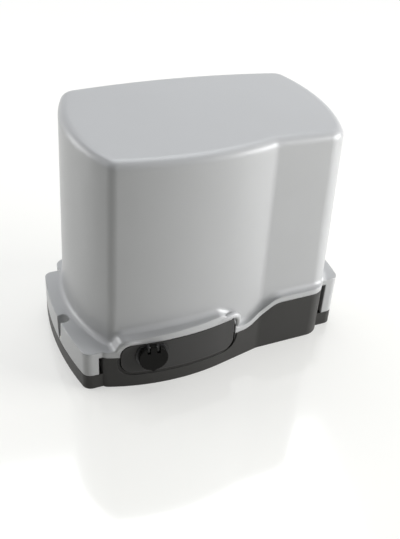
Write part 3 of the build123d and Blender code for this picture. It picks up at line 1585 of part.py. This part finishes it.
with BuildPart() as radio_module:
    with BuildSketch(on_board(118, 84)):
        Rectangle(36, 3)
    extrude(amount=13)
    with BuildSketch(on_board(118, 86.2).offset(4)):
        Rectangle(9, 1.4)
    extrude(amount=6)
save(radio_module, "radio_module")

# Rubber grommet with two cable holes in the floor's cable entry
with BuildPart() as cable_grommet:
    with BuildSketch(Plane.XY.offset(0.6)):
        with Locations((cable_entry_x, cable_entry_y)):
            RectangleRounded(cable_entry_length - 0.2, cable_entry_depth - 0.2, 7.9)
    extrude(amount=base_floor - 0.6)
    with BuildSketch(Plane.XY.offset(base_floor)):
        with Locations((cable_entry_x, cable_entry_y)):
            RectangleRounded(cable_entry_length + 5, cable_entry_depth + 5, 10)
    extrude(amount=3)
    with BuildSketch():
        with Locations((cable_entry_x, cable_entry_y)):
            with GridLocations(18, 1, 2, 1):
                Circle(5.5)
    extrude(amount=20, mode=Mode.SUBTRACT)
save(cable_grommet, "cable_grommet")

# Limit switch: box on a plate against the upstand, two micro switches and the lever
switch_wall = 2.0
plate_thickness = base_rear_y - base_wall - switch_rear_y
switch_middle_z = (switch_bottom_z + switch_top_z) / 2
with BuildPart() as switch_box:
    with BuildSketch(gate_plane(switch_front_y, x=switch_x, z=switch_middle_z)):
        RectangleRounded(2 * switch_half_width, switch_top_z - switch_bottom_z, 3)
    extrude(amount=switch_rear_y - switch_front_y)
    with BuildSketch(gate_plane(switch_rear_y, x=switch_x, z=switch_middle_z)):
        RectangleRounded(2 * switch_half_width + 18, switch_top_z - switch_bottom_z, 3)
    extrude(amount=plate_thickness)
    with BuildSketch(gate_plane(switch_front_y + switch_wall, x=switch_x, z=switch_middle_z)):
        Rectangle(2 * (switch_half_width - switch_wall), switch_top_z - switch_bottom_z - 2 * switch_wall)
    extrude(amount=60, mode=Mode.SUBTRACT)
    with BuildSketch(Plane.XY.offset(switch_bottom_z + 0.5)):
        with Locations((switch_x, lever_y)):
            Circle(2 + fit_gap)
    extrude(amount=switch_top_z - switch_bottom_z - 1, mode=Mode.SUBTRACT)
    with BuildSketch(gate_plane(switch_rear_y, x=switch_x, z=switch_middle_z)):
        with GridLocations(2 * switch_half_width + 9, 1, 2, 1):
            Circle(1.7)
    extrude(amount=plate_thickness, mode=Mode.SUBTRACT)
save(switch_box, "switch_box")
with pan_screws:
    with BuildSketch(gate_plane(switch_rear_y, x=switch_x, z=switch_middle_z)):
        with GridLocations(2 * switch_half_width + 9, 1, 2, 1):
            Circle(2.8)
    extrude(amount=-2)
    with BuildSketch(gate_plane(switch_rear_y, x=switch_x, z=switch_middle_z)):
        with GridLocations(2 * switch_half_width + 9, 1, 2, 1):
            Circle(1.5)
    extrude(amount=plate_thickness)
save(pan_screws, "pan_screws")
with BuildPart() as micro_switches:
    for side in (-1, 1):
        with BuildSketch(Plane.XY.offset(switch_middle_z - 10)):
            with Locations((switch_x + side * 14.9, switch_front_y + switch_wall + 11)):
                Rectangle(6, 20)
        extrude(amount=20)
save(micro_switches, "micro_switches")
with BuildPart() as lever_pin:
    with BuildSketch(Plane.XY.offset(switch_bottom_z + 0.5)):
        with Locations((switch_x, lever_y)):
            Circle(2)
    extrude(amount=switch_top_z - switch_bottom_z - 1)
save(lever_pin, "lever_pin")
with BuildPart() as limit_lever:
    with BuildSketch(Plane.XY.offset(switch_middle_z - 9)):
        with Locations((switch_x, lever_y)):
            Circle(5.5)
            Circle(2 + fit_gap, mode=Mode.SUBTRACT)
    extrude(amount=18)
    with BuildSketch(gate_plane(lever_y + 3, x=switch_x, z=lever_z)):
        Circle(3)
    extrude(amount=12)
    with BuildSketch(gate_plane(lever_y + 15, x=switch_x, z=lever_z)):
        Circle(2)
    extrude(amount=lever_length - 15)
save(limit_lever, "limit_lever")
coil_wire = 0.8
with BuildPart() as lever_coil:
    with BuildLine() as coil_path:
        Helix(2.4, lever_length - 19, 3.1)
    with BuildSketch(Plane(origin=coil_path.line @ 0, z_dir=coil_path.line % 0)):
        Circle(coil_wire)
    sweep(path=coil_path.line, is_frenet=True)
coil_place = Plane(origin=(switch_x, lever_y + 17, lever_z), x_dir=(-1, 0, 0), z_dir=(0, 1, 0))
with BuildPart() as lever_spring:
    add(lever_coil.part.moved(coil_place.location))
save(lever_spring, "lever_spring")
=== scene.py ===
import math

import bmesh
import bpy
from mathutils import Matrix, Vector


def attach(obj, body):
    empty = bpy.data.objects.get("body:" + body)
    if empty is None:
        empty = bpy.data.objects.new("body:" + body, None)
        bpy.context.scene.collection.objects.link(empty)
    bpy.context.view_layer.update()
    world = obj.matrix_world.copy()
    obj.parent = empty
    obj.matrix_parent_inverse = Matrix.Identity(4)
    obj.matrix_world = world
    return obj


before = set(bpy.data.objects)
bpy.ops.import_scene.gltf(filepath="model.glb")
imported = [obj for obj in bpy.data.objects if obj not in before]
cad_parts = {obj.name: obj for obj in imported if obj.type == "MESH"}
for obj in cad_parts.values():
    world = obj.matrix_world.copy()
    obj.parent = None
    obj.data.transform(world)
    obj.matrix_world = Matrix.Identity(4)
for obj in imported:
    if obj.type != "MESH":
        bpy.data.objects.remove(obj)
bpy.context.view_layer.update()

# Camera: placed by fitting the base's outline and the cover's top edge to the photograph,
# a normal lens a little under a metre away, looking down at the front left corner.
camera_place = (-0.31975, -0.66927, 0.56054)
camera_data = bpy.data.cameras.new("photo_camera")
camera_data.sensor_width = 36.0
camera_data.lens = 50.35
camera_data.clip_start = 0.01
camera_data.clip_end = 50.0
camera = bpy.data.objects.new("photo_camera", camera_data)
bpy.context.scene.collection.objects.link(camera)
right = Vector((0.90942, -0.41195, 0.05702))
up = Vector((0.18774, 0.52898, 0.82761))
forward = Vector((0.37110, 0.74194, -0.55841))
turn = Matrix((right, up, -forward)).transposed().to_4x4()
camera.matrix_world = Matrix.Translation(camera_place) @ turn
bpy.context.scene.camera = camera
bpy.context.scene.view_settings.view_transform = "Standard"

# Studio: a large pale floor under a white surround. The surround shows plain white to the
# camera and in reflections, but its own light is weak. The floor is lifted there to near
# white, and keeps the soft shadow and the reflection.
floor_half = 4.0
floor_sink = 0.0002
floor_shown_lift = 0.46
surround_light = 0.06


def seen_rays(nodes, links):
    """1 on the rays that show a surface: camera, glossy and transmission rays."""
    rays = nodes.new("ShaderNodeLightPath")
    first = nodes.new("ShaderNodeMath")
    first.operation = "MAXIMUM"
    links.new(rays.outputs["Is Camera Ray"], first.inputs[0])
    links.new(rays.outputs["Is Glossy Ray"], first.inputs[1])
    seen = nodes.new("ShaderNodeMath")
    seen.operation = "MAXIMUM"
    links.new(first.outputs["Value"], seen.inputs[0])
    links.new(rays.outputs["Is Transmission Ray"], seen.inputs[1])
    return seen.outputs["Value"]


floor_mesh = bpy.data.meshes.new("studio_floor")
floor_bm = bmesh.new()
bmesh.ops.create_grid(floor_bm, x_segments=8, y_segments=8, size=floor_half)
bmesh.ops.translate(floor_bm, verts=floor_bm.verts, vec=(0.0, 0.0, -floor_sink))
floor_bm.to_mesh(floor_mesh)
floor_bm.free()
floor = bpy.data.objects.new("studio_floor", floor_mesh)
bpy.context.scene.collection.objects.link(floor)

floor_material = bpy.data.materials.new("studio_floor")
floor_material.use_nodes = True
nodes = floor_material.node_tree.nodes
links = floor_material.node_tree.links
floor_shader = nodes["Principled BSDF"]
floor_shader.inputs["Roughness"].default_value = 0.10
floor_shader.inputs["Specular IOR Level"].default_value = 0.9
floor_noise = nodes.new("ShaderNodeTexNoise")
floor_noise.inputs["Scale"].default_value = 1.5
floor_tone = nodes.new("ShaderNodeMix")
floor_tone.data_type = "RGBA"
floor_tone.inputs["A"].default_value = (0.56, 0.555, 0.515, 1.0)
floor_tone.inputs["B"].default_value = (0.58, 0.575, 0.535, 1.0)
floor_place = nodes.new("ShaderNodeTexCoord")
links.new(floor_place.outputs["Object"], floor_noise.inputs["Vector"])
links.new(floor_noise.outputs["Fac"], floor_tone.inputs["Factor"])
links.new(floor_tone.outputs["Result"], floor_shader.inputs["Base Color"])
floor_lift = nodes.new("ShaderNodeMath")
floor_lift.operation = "MULTIPLY"
floor_lift.inputs[1].default_value = floor_shown_lift
links.new(seen_rays(nodes, links), floor_lift.inputs[0])
floor_shader.inputs["Emission Color"].default_value = (1.0, 1.0, 1.0, 1.0)
links.new(floor_lift.outputs["Value"], floor_shader.inputs["Emission Strength"])
floor_mesh.materials.append(floor_material)

world = bpy.data.worlds.new("studio")
bpy.context.scene.world = world
world.use_nodes = True
nodes = world.node_tree.nodes
links = world.node_tree.links
background = nodes["Background"]
background.inputs["Color"].default_value = (0.90, 0.95, 1.0, 1.0)
background.inputs["Strength"].default_value = surround_light
white = nodes.new("ShaderNodeBackground")
white.inputs["Color"].default_value = (1.0, 1.0, 1.0, 1.0)
white.inputs["Strength"].default_value = 1.0
choose = nodes.new("ShaderNodeMixShader")
links.new(seen_rays(nodes, links), choose.inputs["Fac"])
links.new(background.outputs["Background"], choose.inputs[1])
links.new(white.outputs["Background"], choose.inputs[2])
links.new(choose.outputs["Shader"], nodes["World Output"].inputs["Surface"])


def soft_box(name, place, aim, width, height, power, tint=(1.0, 1.0, 1.0)):
    """Rectangular area light at place, turned to aim."""
    data = bpy.data.lights.new(name, "AREA")
    data.shape = "RECTANGLE"
    data.size = width
    data.size_y = height
    data.energy = power
    data.color = tint
    lamp = bpy.data.objects.new(name, data)
    direction = Vector(aim) - Vector(place)
    turn = direction.to_track_quat("-Z", "Y").to_matrix().to_4x4()
    lamp.matrix_world = Matrix.Translation(place) @ turn
    bpy.context.scene.collection.objects.link(lamp)


# A wide soft box overhead, a large one far to the right that grazes the bulged front, so that
# it darkens towards the left corner, and one behind the left end.
soft_box("overhead_box", (0.1, 0.6, 2.0), (0.0, 0.0, 0.1), 2.0, 1.6, 27.5, (0.955, 0.975, 1.0))
soft_box("right_box", (1.85, -1.05, 0.6), (0.0, 0.0, 0.12), 1.5, 1.1, 54.0)
soft_box("left_box", (-1.6, 1.2, 0.6), (-0.1, 0.0, 0.12), 0.9, 1.0, 12.5)

# Cover: one injection moulding with a satin silver paint. The paint is even, with a fine metallic flake.
# Its lighter colour along the edges of lip, ears and top is a painted highlight.
edge_starts = 0.998
edge_full = 0.90
edge_share = 0.6
grain_height = 0.0002
coat_roughness = 0.18


def grain_group():
    """Fine uneven grain: a slow tone and a small height, from the piece's own place."""
    group = bpy.data.node_groups.new("fine_grain", "ShaderNodeTree")
    group.interface.new_socket("Scale", in_out="INPUT", socket_type="NodeSocketFloat")
    group.interface.new_socket("Tone", in_out="OUTPUT", socket_type="NodeSocketFloat")
    group.interface.new_socket("Height", in_out="OUTPUT", socket_type="NodeSocketFloat")
    entry = group.nodes.new("NodeGroupInput")
    result = group.nodes.new("NodeGroupOutput")
    place = group.nodes.new("ShaderNodeTexCoord")
    slow = group.nodes.new("ShaderNodeTexNoise")
    slow.inputs["Scale"].default_value = 14.0
    slow.inputs["Detail"].default_value = 4.0
    slow.inputs["Roughness"].default_value = 0.6
    fine = group.nodes.new("ShaderNodeTexNoise")
    fine.inputs["Detail"].default_value = 2.0
    group.links.new(place.outputs["Object"], slow.inputs["Vector"])
    group.links.new(place.outputs["Object"], fine.inputs["Vector"])
    group.links.new(entry.outputs["Scale"], fine.inputs["Scale"])
    group.links.new(slow.outputs["Fac"], result.inputs["Tone"])
    group.links.new(fine.outputs["Fac"], result.inputs["Height"])
    return group


def edge_group():
    """Mask of the convex and concave edges, from the angle between true and rounded normal."""
    group = bpy.data.node_groups.new("worn_and_highlit_edges", "ShaderNodeTree")
    group.interface.new_socket("Radius", in_out="INPUT", socket_type="NodeSocketFloat")
    group.interface.new_socket("Mask", in_out="OUTPUT", socket_type="NodeSocketFloat")
    group.interface.new_socket("Normal", in_out="OUTPUT", socket_type="NodeSocketVector")
    entry = group.nodes.new("NodeGroupInput")
    result = group.nodes.new("NodeGroupOutput")
    rounded = group.nodes.new("ShaderNodeBevel")
    rounded.samples = 4
    true = group.nodes.new("ShaderNodeNewGeometry")
    agree = group.nodes.new("ShaderNodeVectorMath")
    agree.operation = "DOT_PRODUCT"
    spread = group.nodes.new("ShaderNodeMapRange")
    spread.inputs["From Min"].default_value = edge_starts
    spread.inputs["From Max"].default_value = edge_full
    group.links.new(entry.outputs["Radius"], rounded.inputs["Radius"])
    group.links.new(rounded.outputs["Normal"], agree.inputs[0])
    group.links.new(true.outputs["Normal"], agree.inputs[1])
    group.links.new(agree.outputs["Value"], spread.inputs["Value"])
    group.links.new(spread.outputs["Result"], result.inputs["Mask"])
    group.links.new(rounded.outputs["Normal"], result.inputs["Normal"])
    return group


fine_grain = grain_group()
worn_and_highlit_edges = edge_group()


def finish(name, colour, edge_colour, roughness, metallic=0.0, grain=2500.0, bump=0.05, radius=0.0012,
           tone=0.10, coat=0.0, rough_spread=0.08, specular=0.5):
    """Material from grain and lighter edges: base colour varies by tone, edges take edge_colour, which is
    wear on most parts and a painted highlight on cover and cap.
    """
    made = bpy.data.materials.new(name)
    made.use_nodes = True
    nodes = made.node_tree.nodes
    links = made.node_tree.links
    shader = nodes["Principled BSDF"]
    shader.inputs["Metallic"].default_value = metallic
    shader.inputs["Coat Weight"].default_value = coat
    shader.inputs["Coat Roughness"].default_value = coat_roughness
    shader.inputs["Specular IOR Level"].default_value = specular
    grains = nodes.new("ShaderNodeGroup")
    grains.node_tree = fine_grain
    grains.inputs["Scale"].default_value = grain
    edges = nodes.new("ShaderNodeGroup")
    edges.node_tree = worn_and_highlit_edges
    edges.inputs["Radius"].default_value = radius
    tones = nodes.new("ShaderNodeMix")
    tones.data_type = "RGBA"
    tones.inputs["A"].default_value = (*[c * (1.0 - tone) for c in colour], 1.0)
    tones.inputs["B"].default_value = (*[min(1.0, c * (1.0 + tone)) for c in colour], 1.0)
    links.new(grains.outputs["Tone"], tones.inputs["Factor"])
    soften = nodes.new("ShaderNodeMath")
    soften.operation = "MULTIPLY"
    soften.inputs[1].default_value = edge_share
    links.new(edges.outputs["Mask"], soften.inputs[0])
    # Lighter edge colour: wear on most parts, a painted highlight on the cover and the cap.
    worn_and_highlit = nodes.new("ShaderNodeMix")
    worn_and_highlit.data_type = "RGBA"
    worn_and_highlit.inputs["B"].default_value = (*edge_colour, 1.0)
    links.new(soften.outputs["Value"], worn_and_highlit.inputs["Factor"])
    links.new(tones.outputs["Result"], worn_and_highlit.inputs["A"])
    links.new(worn_and_highlit.outputs["Result"], shader.inputs["Base Color"])
    rough = nodes.new("ShaderNodeMapRange")
    rough.inputs["To Min"].default_value = roughness - rough_spread
    rough.inputs["To Max"].default_value = roughness + rough_spread
    links.new(grains.outputs["Tone"], rough.inputs["Value"])
    links.new(rough.outputs["Result"], shader.inputs["Roughness"])
    relief = nodes.new("ShaderNodeBump")
    relief.inputs["Strength"].default_value = bump
    relief.inputs["Distance"].default_value = grain_height
    links.new(grains.outputs["Height"], relief.inputs["Height"])
    links.new(edges.outputs["Normal"], relief.inputs["Normal"])
    links.new(relief.outputs["Normal"], shader.inputs["Normal"])
    return made


def wear(node, material):
    """Give a node of the frame its material in every slot."""
    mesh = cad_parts[node].data
    if not mesh.materials:
        mesh.materials.append(material)
    for index in range(len(mesh.materials)):
        mesh.materials[index] = material


# Edge colour 0.60 over the paint's 0.52: a painted highlight along the cover's edges.
silver_paint = finish("silver_paint", (0.52, 0.525, 0.53), (0.60, 0.60, 0.605), 0.36, metallic=0.06,
                      grain=4200.0, bump=0.05, radius=0.0030, tone=0.02, coat=0.1, specular=0.4)
wear("cover", silver_paint)

# Shoulder beads: where the lip's arch comes down at both ends of the release panel, it swells
# into a half-round bead, 7 mm wide and 1.5 mm proud, in the cover's own paint. Each is a tube
# sunk in the lip along the window's corner, and it thins and fades into the lip at its ends.
front_radius = 0.238
apex = (-0.0535, -0.110)
bend_slope = 0.2108
bead_radius = 0.0036
bead_proud = 0.0015
bead_fade = 0.020
bead_tip = 0.15
bead_sink = 0.0006
bead_facets = 24
window_left = -0.121
window_right = 0.0133
left_top = 0.0555
right_top = 0.0585
left_corner = 0.0176
right_corner = 0.0096
left_reach = 0.012
right_reach = 0.022
left_foot = 0.0425
right_foot = 0.0400


def lip_front(x):
    """Y of the lip's front face: an arc up to the middle, then a straight run."""
    if x <= 0.0:
        return apex[1] + front_radius - math.sqrt(front_radius ** 2 - (x - apex[0]) ** 2)
    return lip_front(0.0) + bend_slope * x


def shoulder_path(side, edge, top, corner, reach, foot, count=64):
    """Points along the window's corner, seen from the front, from the arch down to the lip."""
    turn_x = edge + side * bead_radius - side * corner
    turn_z = top + bead_radius - corner
    arc = corner * math.pi / 2
    drop = turn_z - foot
    points = []
    for step in range(count + 1):
        along = (reach + arc + drop) * step / count
        if along < reach:
            points.append((turn_x - side * (reach - along), turn_z + corner))
        elif along < reach + arc:
            angle = (along - reach) / corner
            across = side * corner * math.sin(angle)
            points.append((turn_x + across, turn_z + corner * math.cos(angle)))
        else:
            points.append((turn_x + side * corner, turn_z - (along - reach - arc)))
    return points


def bead(name, path):
    """Tube along the path, sunk in the lip's face and fading at both ends."""
    mesh = bpy.data.meshes.new(name)
    tube = bmesh.new()
    lengths = [0.0]
    for (ax, az), (bx, bz) in zip(path, path[1:]):
        lengths.append(lengths[-1] + math.hypot(bx - ax, bz - az))
    rings = []
    for index, (x, z) in enumerate(path):
        left = min(lengths[index], lengths[-1] - lengths[index]) / bead_fade
        swell = math.sin(min(left, 1.0) * math.pi / 2)
        before = path[max(index - 1, 0)]
        after = path[min(index + 1, len(path) - 1)]
        set_back = lip_front(after[0]) - lip_front(before[0])
        tangent = Vector((after[0] - before[0], set_back, after[1] - before[1]))
        tangent.normalize()
        out = Vector((0.0, -1.0, 0.0))
        out = (out - out.dot(tangent) * tangent).normalized()
        side = tangent.cross(out)
        girth = bead_radius * (bead_tip + (1.0 - bead_tip) * swell)
        depth = girth - bead_proud * swell + bead_sink * (1.0 - swell)
        centre = Vector((x, lip_front(x), z)) - out * depth
        ring = []
        for corner in range(bead_facets):
            angle = 2.0 * math.pi * corner / bead_facets
            spoke = math.cos(angle) * out + math.sin(angle) * side
            ring.append(tube.verts.new(centre + girth * spoke))
        rings.append(ring)
    for low, high in zip(rings, rings[1:]):
        for corner in range(bead_facets):
            follow = (corner + 1) % bead_facets
            tube.faces.new((low[corner], low[follow], high[follow], high[corner]))
    tube.faces.new(rings[0])
    tube.faces.new(list(reversed(rings[-1])))
    bmesh.ops.recalc_face_normals(tube, faces=tube.faces)
    for face in tube.faces:
        face.smooth = True
    tube.to_mesh(mesh)
    tube.free()
    mesh.materials.append(silver_paint)
    piece = bpy.data.objects.new(name, mesh)
    bpy.context.scene.collection.objects.link(piece)
    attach(piece, "cover")


bead("left_shoulder_bead", shoulder_path(-1, window_left, left_top, left_corner, left_reach, left_foot))
bead("right_shoulder_bead", shoulder_path(1, window_right, right_top, right_corner, right_reach, right_foot))

# Base housing and release panel: charcoal glass-filled nylon with a fine spark-eroded texture.
charcoal = finish("charcoal_moulding", (0.036, 0.035, 0.033), (0.080, 0.078, 0.075), 0.46, grain=2600.0,
                  bump=0.22, radius=0.0010, tone=0.10, specular=0.25)
wear("base_housing", charcoal)
panel_charcoal = finish("charcoal_panel", (0.044, 0.043, 0.042), (0.10, 0.098, 0.095), 0.42, grain=2600.0,
                        bump=0.2, radius=0.0012, tone=0.08, specular=0.25)
wear("release_panel", panel_charcoal)

# Lock: a zinc die-cast barrel and plug under a black flip cap with a knurled rim. The barrel
# is painted black, and plug and nut are nickel plated.
# The cap's lighter edge colour is a painted highlight that picks out its knurl and rim.
cap_black = finish("cap_black", (0.006, 0.006, 0.0055), (0.022, 0.022, 0.021), 0.42, grain=3000.0, bump=0.1,
                   radius=0.0006, tone=0.15, specular=0.08)
wear("lock_cap", cap_black)
barrel_black = finish("lock_barrel", (0.02, 0.02, 0.021), (0.07, 0.07, 0.07), 0.5, grain=3000.0, bump=0.1,
                      radius=0.0005, tone=0.1)
wear("lock_housing", barrel_black)
nickel = finish("nickel", (0.55, 0.54, 0.52), (0.75, 0.74, 0.72), 0.24, metallic=1.0, grain=1800.0, bump=0.06,
                radius=0.0004, tone=0.08)
wear("lock_cylinder", nickel)
wear("lock_nut", nickel)

# Fasteners: zinc-plated steel with a slightly yellow cast, bright on the edges. The washer and
# clip of the pinion and the transformer's plate are plated the same way.
zinc = finish("zinc_plate", (0.52, 0.51, 0.47), (0.72, 0.71, 0.68), 0.34, metallic=1.0, grain=2000.0,
              bump=0.12, radius=0.0004, tone=0.15)
for node in ("cover_screws", "levelling_nuts", "levelling_screws", "gearbox_bolts", "gearbox_screws",
             "pan_screws", "through_bolts", "transformer_bolt", "transformer_plate", "pinion_bolt",
             "pinion_washer", "shaft_clip"):
    wear(node, zinc)

# Turned and ground steel: shafts, keys, pins, bearings and the release rod. The pinion's cut
# teeth are a little rougher, and the two springs are of darker drawn wire.
steel = finish("ground_steel", (0.46, 0.46, 0.465), (0.70, 0.70, 0.70), 0.27, metallic=1.0, grain=900.0,
               bump=0.10, radius=0.0004, tone=0.08)
for node in ("hinge_pin", "cap_pin", "output_shaft", "worm_shaft", "sleeve_key", "pinion_key", "bearings",
             "release_rod", "lever_pin", "limit_lever", "clutch_sleeve"):
    wear(node, steel)
cut_steel = finish("cut_steel", (0.40, 0.40, 0.41), (0.68, 0.68, 0.68), 0.36, metallic=1.0, grain=1200.0,
                   bump=0.2, radius=0.0006, tone=0.12)
wear("pinion", cut_steel)
spring_steel = finish("spring_steel", (0.30, 0.30, 0.31), (0.5, 0.5, 0.5), 0.3, metallic=1.0, grain=1500.0,
                      bump=0.08, radius=0.0003, tone=0.12)
wear("release_spring", spring_steel)
wear("lever_spring", spring_steel)

# Castings: the gearbox, its front plate and the motor's end shields are sand-blasted
# aluminium, with a coarser grain than the turned pieces.
cast = finish("cast_aluminium", (0.52, 0.525, 0.53), (0.70, 0.70, 0.70), 0.52, metallic=1.0, grain=1100.0,
              bump=0.55, radius=0.0010, tone=0.10)
for node in ("gearbox_housing", "gearbox_cover", "motor_lower_shield", "motor_upper_shield"):
    wear(node, cast)

# Worm wheel: cast and cut in bronze, which runs well on the steel worm. It is brighter along
# the edges of its teeth.
bronze = finish("bronze", (0.50, 0.31, 0.13), (0.78, 0.56, 0.28), 0.33, metallic=1.0, grain=1400.0, bump=0.15,
                radius=0.0005, tone=0.12)
wear("worm_wheel", bronze)


# Stator and rotor: stacks of thin steel sheet, so the grain is drawn out flat along the axis.
# Its lines are a second relief, laid over the fine grain that every finish has.


def lay_relief(made, height, strength, distance):
    """Second relief on a finish, over the one that it has."""
    nodes = made.node_tree.nodes
    links = made.node_tree.links
    relief = nodes.new("ShaderNodeBump")
    relief.inputs["Strength"].default_value = strength
    relief.inputs["Distance"].default_value = distance
    shader = nodes["Principled BSDF"]
    under = shader.inputs["Normal"].links[0].from_socket
    links.new(height, relief.inputs["Height"])
    links.new(under, relief.inputs["Normal"])
    links.new(relief.outputs["Normal"], shader.inputs["Normal"])


def sheet_stack(name, colour, roughness):
    """Fine horizontal lamination lines over dark steel."""
    made = finish(name, colour, (0.35, 0.34, 0.33), roughness, metallic=0.9, grain=1600.0, bump=0.1,
                  tone=0.15)
    nodes = made.node_tree.nodes
    links = made.node_tree.links
    place = nodes.new("ShaderNodeTexCoord")
    lines = nodes.new("ShaderNodeTexWave")
    lines.bands_direction = "Z"
    lines.inputs["Scale"].default_value = 300.0
    lines.inputs["Distortion"].default_value = 0.6
    links.new(place.outputs["Object"], lines.inputs["Vector"])
    lay_relief(made, lines.outputs["Fac"], 0.5, 0.0002)
    return made


wear("stator_stack", sheet_stack("stator_sheets", (0.16, 0.16, 0.165), 0.45))
wear("rotor", sheet_stack("rotor_sheets", (0.22, 0.22, 0.225), 0.38))


# Windings: varnished copper wire, seen as close rings round the upright motor axis. The same
# function gives the transformer its layers of tape, in wider bands.
motor_axis = (-0.04875, 0.018, 0.0)
transformer_axis = (0.092, 0.0, 0.0)
wire_bands = 260.0
tape_bands = 40.0


def wound(name, colour, edge_colour, band, scale, centre):
    """Wire or tape wound round, as fine bands in the bump."""
    made = finish(name, colour, edge_colour, 0.3, grain=1500.0, bump=0.1, tone=0.2, coat=0.4)
    nodes = made.node_tree.nodes
    links = made.node_tree.links
    place = nodes.new("ShaderNodeTexCoord")
    middle = nodes.new("ShaderNodeMapping")
    middle.inputs["Location"].default_value = tuple(-c for c in centre)
    rings = nodes.new("ShaderNodeTexWave")
    rings.wave_type = band
    if band == "RINGS":
        rings.rings_direction = "Z"
    rings.inputs["Scale"].default_value = scale
    rings.inputs["Distortion"].default_value = 1.2
    links.new(place.outputs["Object"], middle.inputs["Vector"])
    links.new(middle.outputs["Vector"], rings.inputs["Vector"])
    lay_relief(made, rings.outputs["Fac"], 0.8, 0.0004)
    return made


copper = wound("varnished_copper", (0.38, 0.13, 0.04), (0.6, 0.28, 0.12), "RINGS", wire_bands, motor_axis)
wear("stator_winding", copper)

# Transformer: layers of yellow polyester tape over a ring core, between rubber pads. The
# shaft seals and the cable grommet are of the same black rubber.
tape = wound("yellow_tape", (0.62, 0.46, 0.07), (0.72, 0.58, 0.2), "RINGS", tape_bands, transformer_axis)
wear("transformer", tape)
rubber = finish("black_rubber", (0.018, 0.018, 0.018), (0.05, 0.05, 0.05), 0.62, grain=1800.0, bump=0.3,
                radius=0.0008, tone=0.2)
for node in ("transformer_pads", "output_seal", "worm_seal", "cable_grommet"):
    wear(node, rubber)

# Run capacitor and the board's electrolytic capacitors: drawn aluminium cans, left bare, with
# the fine even grain of drawing.
can = finish("drawn_can", (0.62, 0.62, 0.63), (0.8, 0.8, 0.8), 0.3, metallic=1.0, grain=700.0, bump=0.08,
             radius=0.0006, tone=0.06)
wear("run_capacitor", can)
wear("board_capacitors", can)

# Black technical plastic: cup, tray, fuse holder, limit switch box, micro switches, encoder
# and the processor's case, all moulded with a light texture.
black_plastic = finish("black_plastic", (0.022, 0.022, 0.023), (0.06, 0.06, 0.06), 0.46, grain=2200.0,
                       bump=0.2, radius=0.0008, tone=0.12)
for node in ("capacitor_cup", "board_tray", "fuse_holder", "switch_box", "micro_switches", "encoder_disc",
             "encoder_sensor", "processor"):
    wear(node, black_plastic)

# Control board: green solder mask, with green terminals and blue relays. The radio module is
# a small board of its own in the same green.
solder_mask = finish("solder_mask", (0.012, 0.14, 0.045), (0.05, 0.22, 0.09), 0.28, grain=500.0, bump=0.08,
                     radius=0.0003, tone=0.18, coat=0.4)
wear("control_board", solder_mask)
wear("radio_module", solder_mask)
terminal_green = finish("terminal_green", (0.03, 0.28, 0.09), (0.08, 0.4, 0.16), 0.42, grain=2000.0,
                        bump=0.15, radius=0.0006, tone=0.1)
wear("terminal_blocks", terminal_green)
relay_blue = finish("relay_blue", (0.02, 0.06, 0.30), (0.08, 0.14, 0.45), 0.3, grain=2000.0, bump=0.08,
                    radius=0.0006, tone=0.1)
wear("relays", relay_blue)
